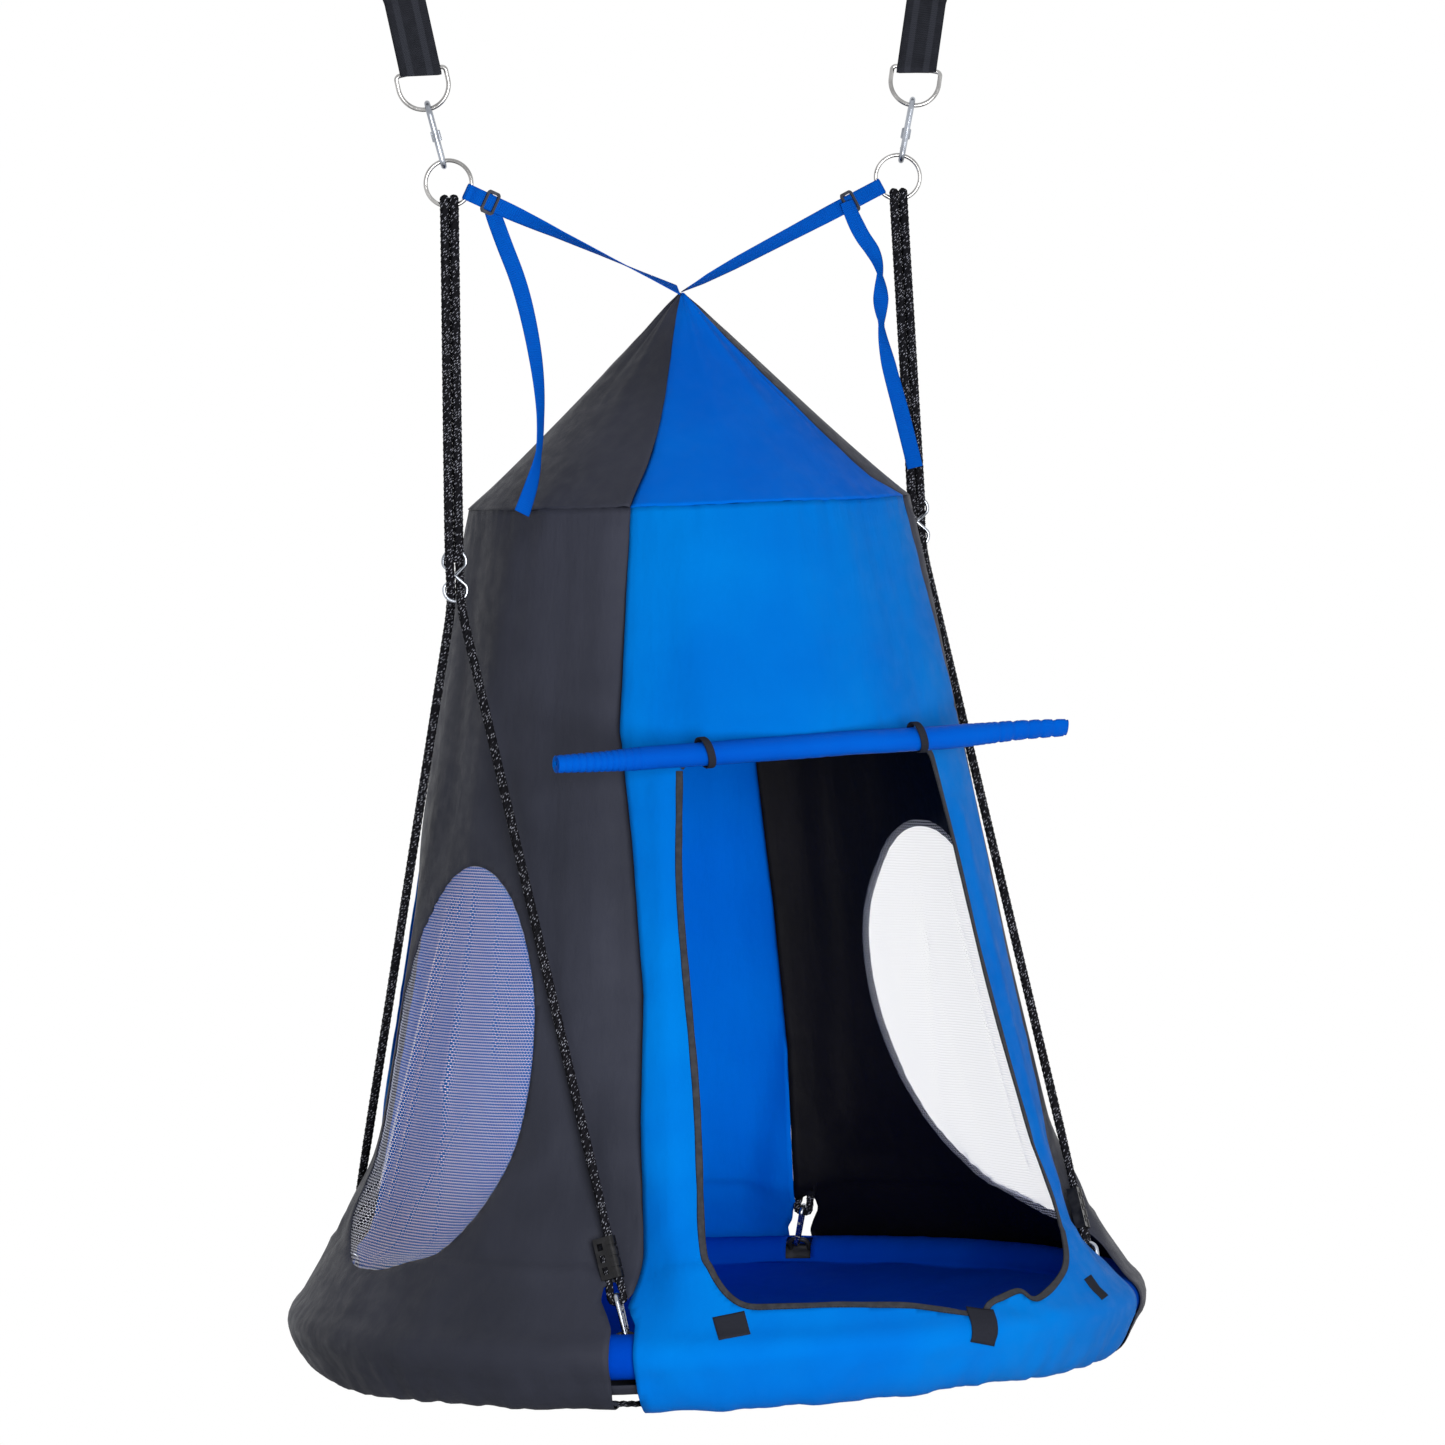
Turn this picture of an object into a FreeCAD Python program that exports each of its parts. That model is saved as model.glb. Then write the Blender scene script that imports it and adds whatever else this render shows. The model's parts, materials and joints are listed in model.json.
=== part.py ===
import FreeCAD, Part
import math
import os

from FreeCAD import Placement, Rotation, Vector

# A saucer nest swing with a play tent.  A padded steel ring carries a round fabric
# seat.  Two ropes, one a side, run from snap hooks on the ring up to a round steel
# ring, which hangs by a screw-lock snap hook from the D-ring of a webbing strap.
# The tent is sewn from four wall panels and four roof panels, stands over the seat
# and is held up by two blue webbing straps from its tip to the rope rings.
#
# Frame: the origin is the middle of the beam's centre line that the two straps loop
# round, X runs along the beam, the door faces -Y and Z points up.  Millimetres.

SIZES = {
    # where the swing hangs
    "hang_drop": 1740.0,  # beam centre line down to the middle of the seat tube
    "eye_spacing": 810.0,  # between the two webbing eyes on the beam
    "eye_radius": 45.0,  # bore of a webbing eye
    "eye_pinch": 62.0,  # beam centre down to where the eye's two layers meet
    "pivot_spacing": 694.0,  # between the two D-ring and snap hook contacts
    "pivot_drop": 272.0,  # beam centre line down to those contacts
    "hardware_yaw": 32.0,  # how far D-rings, hooks and rope rings are turned about Z
    # hanging strap and D-ring
    "strap_width": 50.0,
    "strap_layer": 2.5,  # thickness of one layer of black webbing
    "strap_straight": 134.0,  # contact up to where the strap starts to turn to the beam
    "dring_wire": 5.5,
    "dring_inside": 55.0,
    "dring_height": 46.0,  # contact up to the centre of the straight bar
    "dring_corner": 5.0,
    # screw-lock snap hook at the top
    "top_hook_length": 85.0,
    "top_hook_wire": 7.0,
    "top_hook_lean": 15.0,  # lean of the hook in the XZ plane, in degrees
    "sleeve_length": 13.0,
    "sleeve_wall": 2.3,
    "sleeve_travel": 9.0,
    # round rope ring
    "rope_ring_radius": 27.5,  # centre line of its wire
    "rope_ring_wire": 5.0,
    # ropes and their fittings
    "rope_diameter": 10.0,
    "link_x": 334.0,
    "link_rise_left": 909.0,  # figure-eight links above the seat tube's centre
    "link_rise_right": 949.0,
    "link_length": 66.0,
    "link_width": 32.0,
    "link_wire": 4.5,
    "adjuster_length": 50.0,
    "adjuster_depth": 15.0,
    "adjuster_wall": 1.6,
    "bore_spacing": 11.7,
    "bore_clearance": 0.3,
    # snap hook on the seat ring
    "seat_hook_length": 60.0,
    "seat_hook_wire": 6.0,
    # seat ring
    "ring_radius": 497.0,  # centre line of the steel tube
    "tube_diameter": 32.0,
    "tube_wall": 1.5,
    "joint_sleeve_length": 110.0,
    "joint_gap": 0.4,
    "staple_wire": 6.0,
    "staple_width": 30.0,
    "staple_reach": 34.0,  # tube centre to the centre of the staple's crown
    "foam_thickness": 7.5,
    "cover_thickness": 2.0,
    "soft_gap": 0.4,  # between a soft layer and what it lies on
    "slot_width": 42.0,
    "seat_sag": 34.0,  # middle of the seat below the tube's centre
    "seat_thickness": 3.0,
    # tent
    "tent_cloth": 3.0,
    "eave_radius": 269.0,
    "eave_rise": 985.0,
    "apex_rise": 1242.0,
    "apex_radius": 3.0,
    "hoop_rod": 8.0,
    "seam_gap": 0.4,
    "hem_radius": 466.0,  # drawcord's centre line
    "hem_rise": -59.0,
    "hem_tunnel": 7.5,  # outer radius of the hem round the drawcord
    "tip_stub": 6.0,  # of gathered cloth above the tip of the roof
    "cord_diameter": 8.0,
    "window_rise": 318.0,
    "window_height": 496.0,
    "window_width": 364.0,
    "net_thickness": 1.2,
    "net_margin": 9.0,  # net sewn behind the edge of the window
    "net_low": 14.0,  # bottom of the band of wall that a window's net is cut from
    "net_high": 760.0,
    "door_low": -20.0,  # the same for the tape round the door
    "door_high": 990.0,
    "binding_width": 12.0,
    "binding_thickness": 1.8,
    "roll_diameter": 30.0,
    "roll_end": 19.0,  # diameter of its loosely rolled right end
    "roll_taper": 190.0,
    "tie_width": 11.0,
    "tie_thickness": 1.6,
    "patch_thickness": 1.6,
    # blue webbing that holds up the tip of the tent
    "tip_strap_width": 20.0,
    "tip_strap_layer": 1.6,
    "buckle_left": 30.0,  # rope ring to the middle of the slide buckle
    "buckle_right": 50.0,
    "buckle_length": 19.0,
    "buckle_width": 29.0,
    "buckle_rail": 3.2,
    "tail_lean": 10.6,  # how far the tails swing out from the tent, in degrees
}

doc = FreeCAD.newDocument("nest_swing")
sheet = doc.addObject("Spreadsheet::Sheet", "sizes")
for row, (alias, value) in enumerate(SIZES.items(), 1):
    sheet.set(f"A{row}", alias)
    sheet.set(f"B{row}", str(value))
    sheet.setAlias(f"B{row}", alias)
doc.recompute()

NODES = []  # every sub-part's document object, in the order made
UP = Vector(0, 0, 1)
SIDES = {"left": -1, "right": 1}
CORNERS = {
    "front_left": (-1, -1),
    "front_right": (1, -1),
    "back_right": (1, 1),
    "back_left": (-1, 1),
}
PANELS = {"front": -90, "right": 0, "back": 90, "left": 180}  # way each one faces
TOUCH = 0.4  # free space between two pieces of hanging hardware that bear on each other
SWIVEL = 0.9  # the same where the swing turns in its D-rings
RUNNING = 0.06  # radial clearance of a gate on its pin


def size(name):
    return float(sheet.get(name))


# ---------------------------------------------------------------- small geometry


def unit(v):
    return v * (1.0 / v.Length)


def square_to(v, axis):
    """The unit vector nearest to v that is square to axis."""
    return unit(v - axis * v.dot(axis))


def frame_at(origin, x_axis, z_axis):
    """A placement whose local Z is z_axis and whose local X is as near x_axis as can be."""
    z = unit(z_axis)
    x = square_to(x_axis, z)
    return Placement(origin, Rotation(x, z.cross(x), z, "ZXY"))


def turned(angle):
    """The level unit vector that local X becomes when turned about Z, in degrees."""
    return Vector(math.cos(math.radians(angle)), math.sin(math.radians(angle)), 0)


def rounded_edges(points, radii, closed=False):
    """Straight runs between the points, joined by tangent arcs of the given radii.

    A radius of None is the one that takes 0.45 of the shorter run beside the point."""
    count = len(points)
    starts, ends, arcs = {}, {}, {}
    for i in range(count) if closed else range(1, count - 1):
        corner = points[i]
        back, ahead = points[i - 1] - corner, points[(i + 1) % count] - corner
        turn = math.pi - back.getAngle(ahead)
        half = math.tan(turn / 2)
        radius = radii[i] or 0.45 * min(back.Length, ahead.Length) / half
        toward = unit(unit(back) + unit(ahead))
        middle = corner + toward * (radius / math.cos(turn / 2) - radius)
        starts[i] = corner + unit(back) * (radius * half)
        ends[i] = corner + unit(ahead) * (radius * half)
        arcs[i] = Part.Arc(starts[i], middle, ends[i]).toShape()
    edges = []
    for i in range(count if closed else count - 1):
        j = (i + 1) % count
        begin, finish = ends.get(i, points[i]), starts.get(j, points[j])
        if (finish - begin).Length > 1e-5:
            edges.append(Part.LineSegment(begin, finish).toShape())
        if j in arcs:
            edges.append(arcs[j])
    return edges


def swept(edges, radius, name, section=None, area=0):
    """A round wire or rope of that radius, or another section, along the edges."""
    first = edges[0]
    start = first.valueAt(first.FirstParameter)
    along = first.tangentAt(first.FirstParameter)
    if section is None:
        section = Part.Wire([Part.makeCircle(radius, start, along)])
        area = math.pi * radius**2
    solid = Part.Wire(edges).makePipeShell([section], True, False)
    if solid.Volume < 0:
        solid.reverse()
    due = area * sum(e.Length for e in edges)
    if abs(solid.Volume - due) > 0.01 * due:
        raise RuntimeError(f"{name}: volume {solid.Volume:.0f}, should be {due:.0f}")
    return solid


def rod(start, end, radius):
    return Part.makeCylinder(radius, (end - start).Length, start, end - start)


def block(low, high):
    return Part.makeBox(*(high - low), low)


def add_shape(name, shape, placement=None):
    """A sub-part whose form is a sweep or a cut that neither Part Design nor a primitive makes."""
    made = doc.addObject("Part::Feature", name)
    made.Label = name
    made.Shape = shape
    if placement is not None:
        made.Placement = placement
    NODES.append(made)
    return made


def keep(made, name):
    made.Label = name
    NODES.append(made)
    return made


# ---------------------------------------------------------------- Part Design helpers


def new_body(name, placement):
    body = doc.addObject("PartDesign::Body", name)
    body.Placement = placement
    return keep(body, name)


def plane_of(body, role):
    return next(f for f in body.Origin.OriginFeatures if f.Role == role)


def new_sketch(body, name, plane, offset=None):
    sketch = body.newObject("Sketcher::SketchObject", name)
    sketch.AttachmentSupport = [(plane_of(body, plane), "")]
    sketch.MapMode = "FlatFace"
    if offset is not None:
        sketch.AttachmentOffset = offset
    return sketch


def draw(sketch, points, radii=None):
    """Draws a closed outline of lines and tangent arcs in the sketch."""
    corners = [Vector(x, y, 0) for x, y in points]
    if radii is None:
        pairs = zip(corners, corners[1:] + corners[:1])
        edges = [Part.LineSegment(a, b) for a, b in pairs]
    else:
        edges = [sketch_curve(e) for e in rounded_edges(corners, radii, closed=True)]
    sketch.addGeometry(edges, False)


def sketch_curve(edge):
    """The sketch's own line or arc for an edge that lies in its plane."""
    ends = edge.valueAt(edge.FirstParameter), edge.valueAt(edge.LastParameter)
    if isinstance(edge.Curve, Part.Line):
        return Part.LineSegment(*ends)
    halfway = edge.valueAt((edge.FirstParameter + edge.LastParameter) / 2)
    return Part.Arc(ends[0], halfway, ends[1])


def feature(body, kind, name, sketch, **settings):
    """Adds a Part Design feature; a setting that is text is bound as an expression."""
    made = body.newObject(f"PartDesign::{kind}", name)
    made.Profile = (sketch, [""])
    for key, setting in settings.items():
        if isinstance(setting, str) and key in ("Length", "Angle", "Radius", "Length2"):
            made.setExpression(key, setting)
        else:
            setattr(made, key, setting)
    sketch.Visibility = False
    return made


def cut_less(body, before, name):
    """Stops if the last cut took nothing off the body."""
    doc.recompute()
    if not body.Shape.Volume < before - 1e-3:
        raise RuntimeError(f"{name} cut nothing")
    return body.Shape.Volume


def bound(kind, name, placement, **sizes):
    """A Part primitive whose sizes are expressions on the sheet."""
    made = doc.addObject(f"Part::{kind}", name)
    made.Placement = placement
    for key, text in sizes.items():
        made.setExpression(key, text)
    return made


# ---------------------------------------------------------------- where things are

DROP = size("hang_drop")
SEAT_PLANE = Placement(Vector(0, 0, -DROP), Rotation())
YAW = -size("hardware_yaw")
ACROSS = turned(YAW)  # along the bars of the D-rings
TOWARD = turned(YAW - 90)  # the way the D-rings and rope rings face


def raised(rise):
    """The middle of the seat ring's plane, raised by that much."""
    return Placement(Vector(0, 0, rise - DROP), Rotation())


def pivot(side):
    return Vector(side * size("pivot_spacing") / 2, 0, -size("pivot_drop"))


def eye_centre(side):
    return Vector(side * size("eye_spacing") / 2, 0, 0)


def hook_up(side):
    lean = math.radians(size("top_hook_lean"))
    return Vector(side * math.sin(lean), 0, math.cos(lean))


def hook_foot(side):
    """Where the top hook's lower bow has its lowest centre-line point."""
    wire = size("top_hook_wire")
    reach = size("top_hook_length") - wire - (wire + size("dring_wire")) / 2 - SWIVEL
    return pivot(side) - hook_up(side) * reach


def ring_crown(side):
    """Centre of the rope ring's wire where it lies in the top hook."""
    rise = (size("top_hook_wire") + size("rope_ring_wire")) / 2 + TOUCH
    return hook_foot(side) + hook_up(side) * rise


def ring_centre(side):
    in_plane = square_to(hook_up(side), TOWARD)
    return ring_crown(side) - in_plane * size("rope_ring_radius")


def link_centre(side):
    rise = size("link_rise_left") if side < 0 else size("link_rise_right")
    return Vector(side * size("link_x"), 0, rise - DROP)


def staple_crown(corner):
    """Centre of a staple's crown, up and in from the seat tube at 45 degrees."""
    outward = unit(Vector(corner[0], corner[1], 0))
    lift = size("staple_reach") / math.sqrt(2)
    return outward * (size("ring_radius") - lift) + Vector(0, 0, lift - DROP)


def rope_pass(side, front):
    """Where a rope comes up to the lower loop of its figure-eight link, on its own side."""
    way = 1 if front else -1
    offset = ACROSS * STRAND_SIDE + TOWARD * (1.12 * size("rope_diameter"))
    return link_centre(side) + offset * way - UP * (0.52 * size("link_length"))


STRAND_SIDE = 0.56 * size("rope_diameter")  # strands lie this far each side of the middle
BEND = (size("rope_diameter") + size("rope_ring_wire")) / 2 + 0.3  # rope over ring wire


def corner_frame(corner):
    """Origin, along-rope, tangent and outward directions of the fittings at a corner."""
    crown = staple_crown(corner)
    goal = rope_pass(corner[0], corner[1] < 0)
    outward = unit(Vector(corner[0], corner[1], 0))
    tangent = UP.cross(outward)
    up = unit(goal - crown)
    for _ in range(3):
        beside = square_to(tangent, up)
        up = unit(goal - (crown + beside * (size("bore_spacing") / 2)))
    beside = square_to(tangent, up)
    return crown, up, beside, beside.cross(up)


def seat_hook_foot(corner):
    crown, up, _, _ = corner_frame(corner)
    return crown - up * ((size("staple_wire") + size("seat_hook_wire")) / 2 + TOUCH)


def seat_hook_head(corner):
    """Centre of the wire at the head of a seat hook, which the rope's bight passes under."""
    _, up, _, _ = corner_frame(corner)
    return seat_hook_foot(corner) + up * (size("seat_hook_length") - size("seat_hook_wire"))


def adjuster_centre(corner):
    _, up, _, _ = corner_frame(corner)
    clear = size("rope_diameter") * 1.9
    return seat_hook_head(corner) + up * (clear + size("adjuster_length") / 2)


# ---------------------------------------------------------------- straps and D-rings


def strap_frame(side):
    """At the contact: local Z up the strap, local X along the D-ring's bar."""
    return frame_at(pivot(side), ACROSS, eye_centre(side) - pivot(side))


def make_strap(name, side):
    """Black webbing, two layers stitched together, folded round the D-ring's bar and the beam."""
    width, layer = size("strap_width"), size("strap_layer")
    bar, bore = size("dring_height"), size("dring_wire") / 2 + TOUCH
    top = size("strap_straight")
    half = Vector(width / 2, 0, 0)
    fold = Part.makeCylinder(bore + layer, width, Vector(0, 0, bar) - half, half)
    band = block(Vector(-width / 2, -layer, bar), Vector(width / 2, layer, top))
    lower = fold.fuse(band)
    lower = lower.cut(Part.makeCylinder(bore, width, Vector(0, 0, bar) - half, half))
    lower.Placement = strap_frame(side)

    radius, pinch = size("eye_radius"), size("eye_pinch")
    base = pinch + 10
    corners = [Vector(x, y, 0) for x, y in rectangle(width, 2 * layer)]
    section = Part.makePolygon(corners + corners[:1])
    low, high = section.copy(), section.copy()
    low.Placement = strap_frame(side).multiply(Placement(Vector(0, 0, top), Rotation()))
    high.Placement = Placement(eye_centre(side) - UP * base, Rotation())
    turn = Part.makeLoft([low, high], True, True)

    angle = math.acos(radius / pinch)
    eye = eye_outline(radius + layer, angle, layer).cut(eye_outline(radius, angle, 0))
    eye = eye.fuse(block(Vector(0, -layer, -base), Vector(width, layer, -pinch)))
    eye.Placement = Placement(eye_centre(side) - half, Rotation())
    add_shape(name, lower.fuse([turn, eye]).removeSplitter())


def rectangle(width, depth):
    x, y = width / 2, depth / 2
    return [(-x, -y), (x, -y), (x, y), (-x, y)]


def eye_outline(radius, angle, half_neck):
    """A round bar with a neck that tapers down to half_neck each side, as wide as the strap."""
    reach = math.pi / 2 - angle
    touch_y, touch_z = radius * math.cos(reach), -radius * math.sin(reach)
    neck_z = -(radius - half_neck * math.cos(reach)) / math.sin(reach)
    points = [(-touch_y, touch_z), (-half_neck, neck_z), (half_neck, neck_z), (touch_y, touch_z)]
    if half_neck == 0:
        points.pop(1)
    loop = [Vector(0, y, z) for y, z in points + [(0, 0)]]
    neck = Part.Face(Part.makePolygon(loop + loop[:1])).extrude(Vector(size("strap_width"), 0, 0))
    barrel = Part.makeCylinder(radius, size("strap_width"), Vector(), Vector(1, 0, 0))
    return barrel.fuse(neck)


def make_dring(name, side):
    half = (size("dring_inside") + size("dring_wire")) / 2
    height, corner = size("dring_height"), size("dring_corner")
    points = [Vector(x, 0, z) for x, z in ((-half, height), (-half, 0), (half, 0), (half, height))]
    radii = [corner, half - 0.01, half - 0.01, corner]
    shape = swept(rounded_edges(points, radii, closed=True), size("dring_wire") / 2, name)
    add_shape(name, shape, strap_frame(side))


# ---------------------------------------------------------------- snap hooks


class Hook:
    """The plan of a snap hook: a pear of round wire with a sprung gate on its +X side.

    Local Z runs along the hook from the lowest centre-line point, local X to the gate."""

    def __init__(self, length, wire):
        self.wire, self.radius = wire, wire / 2
        self.height = length - wire
        self.foot, self.head = 0.128 * self.height, 0.18 * self.height
        spread = self.height - self.foot - self.head
        self.flare = math.asin((self.head - self.foot) / spread)
        sine, cosine = math.sin(self.flare), math.cos(self.flare)
        self.along = Vector(sine, 0, cosine)
        self.low = Vector(self.foot * cosine, 0, self.foot - self.foot * sine)
        top = self.height - self.head
        self.high = Vector(self.head * cosine, 0, top - self.head * sine)
        self.hinge = self.low + self.along * (1.1 * wire)
        self.nose = self.high - self.along * (1.2 * wire)
        self.tongue = 0.42 * wire
        self.pin = 0.16 * wire

    def mirrored(self, point):
        return Vector(-point.x, 0, point.z)

    def body(self, name):
        """The bent wire, with a flat tongue at the hinge and one at the nose."""
        top, bottom = Vector(0, 0, self.height), Vector(0, 0, 0)
        edges = [
            Part.LineSegment(self.nose, self.high).toShape(),
            Part.Arc(self.high, top, self.mirrored(self.high)).toShape(),
            Part.LineSegment(self.mirrored(self.high), self.mirrored(self.low)).toShape(),
            Part.Arc(self.mirrored(self.low), bottom, self.low).toShape(),
            Part.LineSegment(self.low, self.hinge).toShape(),
        ]
        wire = swept(edges, self.radius, name)
        away = Rotation(Vector(0, 1, 0), math.degrees(self.flare))
        shoulder, reach = self.radius + TOUCH, 2 * self.wire
        for y in (self.tongue / 2, -self.tongue / 2 - reach):
            cheek = block(Vector(-reach, y, -shoulder), Vector(reach, y + reach, shoulder))
            cheek.Placement = Placement(self.hinge, away)
            wire = wire.cut(cheek)
        knuckle = self.cross(self.hinge, self.radius, self.tongue)
        nose = self.cross(self.nose, 0.8 * self.radius, self.tongue)
        wire = wire.fuse([knuckle, nose])
        return wire.cut(self.cross(self.hinge, self.pin, 2 * self.wire))

    def cross(self, centre, radius, width):
        """A short round bar across the hook, square to its plane."""
        return Part.makeCylinder(radius, width, centre - Vector(0, width / 2, 0), Vector(0, 1, 0))

    def gate(self):
        """The sprung gate: a rod forked over the hinge tongue and slotted for the nose."""
        end = self.nose - self.along * TOUCH
        shape = rod(self.hinge, end, self.radius)
        shape = shape.fuse(self.cross(self.hinge, self.radius, 1.96 * self.radius))
        half = self.tongue / 2 + 0.25
        reach = 2 * self.wire
        deep = self.radius + 2 * TOUCH
        for centre in (self.hinge, end):
            slot = block(Vector(-reach, -half, -deep), Vector(reach, half, deep))
            slot.Placement = Placement(centre, Rotation(Vector(0, 1, 0), math.degrees(self.flare)))
            shape = shape.cut(slot)
        return shape.cut(self.cross(self.hinge, self.pin + RUNNING, 2 * self.wire))

    def hinge_pin(self):
        return self.cross(self.hinge, self.pin, self.wire + 0.4)


TOP_HOOK = Hook(size("top_hook_length"), size("top_hook_wire"))
SEAT_HOOK = Hook(size("seat_hook_length"), size("seat_hook_wire"))


def top_hook_frame(side):
    """Hook square to the D-ring, its gate on the far side from where the rings face."""
    return frame_at(hook_foot(side), -TOWARD, hook_up(side))


def seat_hook_frame(corner):
    _, up, _, outward = corner_frame(corner)
    return frame_at(seat_hook_foot(corner), -outward, up)


def make_screw_sleeve(name, side):
    """A knurled nut on the gate; it runs up over the nose to lock the hook."""
    hook = TOP_HOOK
    start = hook.hinge + hook.along * (hook.wire + 6.0)
    where = top_hook_frame(side).multiply(frame_at(start, Vector(0, 1, 0), hook.along))
    body = new_body(name, where)
    bore = hook.radius + 0.15
    outer = bore + size("sleeve_wall")
    tall, edge = size("sleeve_length"), 0.8
    sketch = new_sketch(body, name + "_profile", "XZ_Plane")
    draw(sketch, [(bore, 0), (outer - edge, 0), (outer, edge), (outer, tall - edge),
                  (outer - edge, tall), (bore, tall)])
    turn = feature(body, "Revolution", name + "_turned", sketch)
    turn.ReferenceAxis = (sketch, ["V_Axis"])
    turn.Angle = 360
    doc.recompute()
    volume = body.Shape.Volume
    flute = new_sketch(body, name + "_flute", "XY_Plane")
    flute.addGeometry(Part.Circle(Vector(outer + 0.5, 0, 0), UP, 1.0), False)
    cut = feature(body, "Pocket", name + "_flutes", flute, Type=1, Reversed=True)
    cut_less(body, volume, name + " flute")
    ring = body.newObject("PartDesign::PolarPattern", name + "_knurl")
    ring.Originals = [cut]
    ring.Axis = (flute, ["N_Axis"])
    ring.Angle = 360
    ring.Occurrences = 14
    body.Tip = ring


# ---------------------------------------------------------------- ropes and their fittings


def make_link(name, side):
    """A figure-eight link bent from round wire, its two wires crossing at the waist."""
    wire = size("link_wire")
    half = (size("link_width") - wire) / 2
    tall = (size("link_length") - wire) / 2
    cross = 0.75 * wire  # the rounded bend comes 0.5 wire from the middle
    low = 0.42 * tall
    points = [
        Vector(-half, 0, low), Vector(-half, 0, tall), Vector(half, 0, tall), Vector(half, 0, low),
        Vector(0, cross, 0),
        Vector(-half, 0, -low), Vector(-half, 0, -tall), Vector(half, 0, -tall), Vector(half, 0, -low),
        Vector(0, -cross, 0),
    ]
    round_end, shoulder = half - 0.01, 0.55 * half
    radii = [shoulder, round_end, round_end, shoulder, None] * 2
    edges = rounded_edges(points, radii, closed=True)
    half_way = len(edges) // 2
    upper, lower = (swept(run, wire / 2, name) for run in (edges[:half_way], edges[half_way:]))
    add_shape(name, upper.fuse(lower).removeSplitter(), frame_at(link_centre(side), ACROSS, UP))


def half_rope(corner):
    """Points and radii of a rope from its end in the adjuster to the figure-eight link."""
    crown, up, beside, _ = corner_frame(corner)
    head = seat_hook_head(corner)
    block_end = adjuster_centre(corner) - up * (size("adjuster_length") / 2)
    near = size("bore_spacing") / 2
    wide = (size("rope_diameter") + size("seat_hook_wire")) / 2 + 0.1
    tail = block_end - beside * near
    main = block_end + beside * near
    side, front = corner[0], corner[1] < 0
    points = [
        tail + up * (0.7 * size("adjuster_length")),
        tail,
        head - beside * wide + up * 2,
        head - beside * wide - up * wide,
        head + beside * wide - up * wide,
        head + beside * wide + up * 2,
        main,
        rope_pass(side, front),
    ]
    radii = [None, None, None, wide - 0.01, wide - 0.01, None, None, None]
    return points, radii


def make_rope(name, side):
    """One rope: front hook, link, over the ring, round the link, over the ring, back hook."""
    front, front_radii = half_rope((side, -1))
    back, back_radii = half_rope((side, 1))
    centre = link_centre(side)
    wire = ring_centre(side) - UP * size("rope_ring_radius")
    apart = ACROSS * STRAND_SIDE
    over = UP * (BEND + 0.9)
    out = TOWARD * BEND
    shift = TOWARD * (1.22 * size("rope_diameter"))
    shoulder = UP * (0.06 * size("link_length"))
    loop_top = centre + UP * ((size("link_length") - size("link_wire")) / 2)
    swing = apart + out
    loop = swing.Length
    sink = UP * loop
    middle = [
        centre + apart - shift + shoulder,
        wire + apart - out + over,
        wire + apart + out + over,
        loop_top + apart + out - sink,
        loop_top - apart - out - sink,
        wire - apart - out + over,
        wire - apart + out + over,
        centre - apart + shift + shoulder,
    ]
    bend, turn = BEND - 0.01, loop - 0.01
    middle_radii = [None, bend, bend, turn, turn, bend, bend, None]
    points = front + middle + back[::-1]
    radii = front_radii + middle_radii + back_radii[::-1]
    edges = rounded_edges(points, radii)
    arcs = [round(e.Curve.Radius, 1) for e in edges if isinstance(e.Curve, Part.Circle)]
    print(name, "length", round(sum(e.Length for e in edges)), "arc radii", arcs)
    add_shape(name, swept(edges, size("rope_diameter") / 2, name))


def make_adjuster(name, corner):
    """A moulded rope slide: a ribbed barrel for the running rope beside a windowed bar for its end."""
    _, up, beside, _ = corner_frame(corner)
    body = new_body(name, frame_at(adjuster_centre(corner), beside, up))
    bore = size("rope_diameter") / 2 + size("bore_clearance")
    wall, near = size("adjuster_wall"), size("bore_spacing") / 2
    half, deep = size("adjuster_length") / 2, size("adjuster_depth") / 2
    bar = new_sketch(body, name + "_bar", "XY_Plane")
    edge = -near - bore - wall
    draw(bar, [(edge, -deep + 1), (near, -deep + 1), (near, deep - 1), (edge, deep - 1)])
    feature(body, "Pad", name + "_block", bar, Length="sizes.adjuster_length", Midplane=True)
    profile = new_sketch(body, name + "_ribs", "XZ_Plane")
    root, crest = bore + wall - 0.6, bore + wall + 0.9
    rib, gap = 0.205 * 2 * half, 0.06 * 2 * half
    points, level = [(near, -half)], -half
    for index in range(4):
        points += [(near + crest, level), (near + crest, level + rib)]
        level += rib
        if index < 3:
            points += [(near + root, level), (near + root, level + gap)]
            level += gap
    draw(profile, points + [(near, half)])
    profile.addGeometry(Part.LineSegment(Vector(near, -half, 0), Vector(near, half, 0)), True)
    turn = feature(body, "Revolution", name + "_barrel", profile, Angle=360)
    turn.ReferenceAxis = (profile, ["Axis0"])
    doc.recompute()
    volume = body.Shape.Volume
    holes = new_sketch(body, name + "_bores", "XY_Plane")
    for x in (-near, near):
        holes.addGeometry(Part.Circle(Vector(x, 0, 0), UP, bore), False)
    feature(body, "Pocket", name + "_bored", holes, Type=1, Midplane=True)
    volume = cut_less(body, volume, name + " bores")
    windows = new_sketch(body, name + "_windows", "XZ_Plane")
    tall = 0.17 * 2 * half
    for level in (-0.29 * 2 * half, 0, 0.29 * 2 * half):
        draw(windows, [(-near - 3.2, level - tall / 2), (-near + 3.2, level - tall / 2),
                       (-near + 3.2, level + tall / 2), (-near - 3.2, level + tall / 2)])
    feature(body, "Pocket", name + "_windowed", windows, Type=1, Midplane=True)
    cut_less(body, volume, name + " windows")


# ---------------------------------------------------------------- seat


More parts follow.
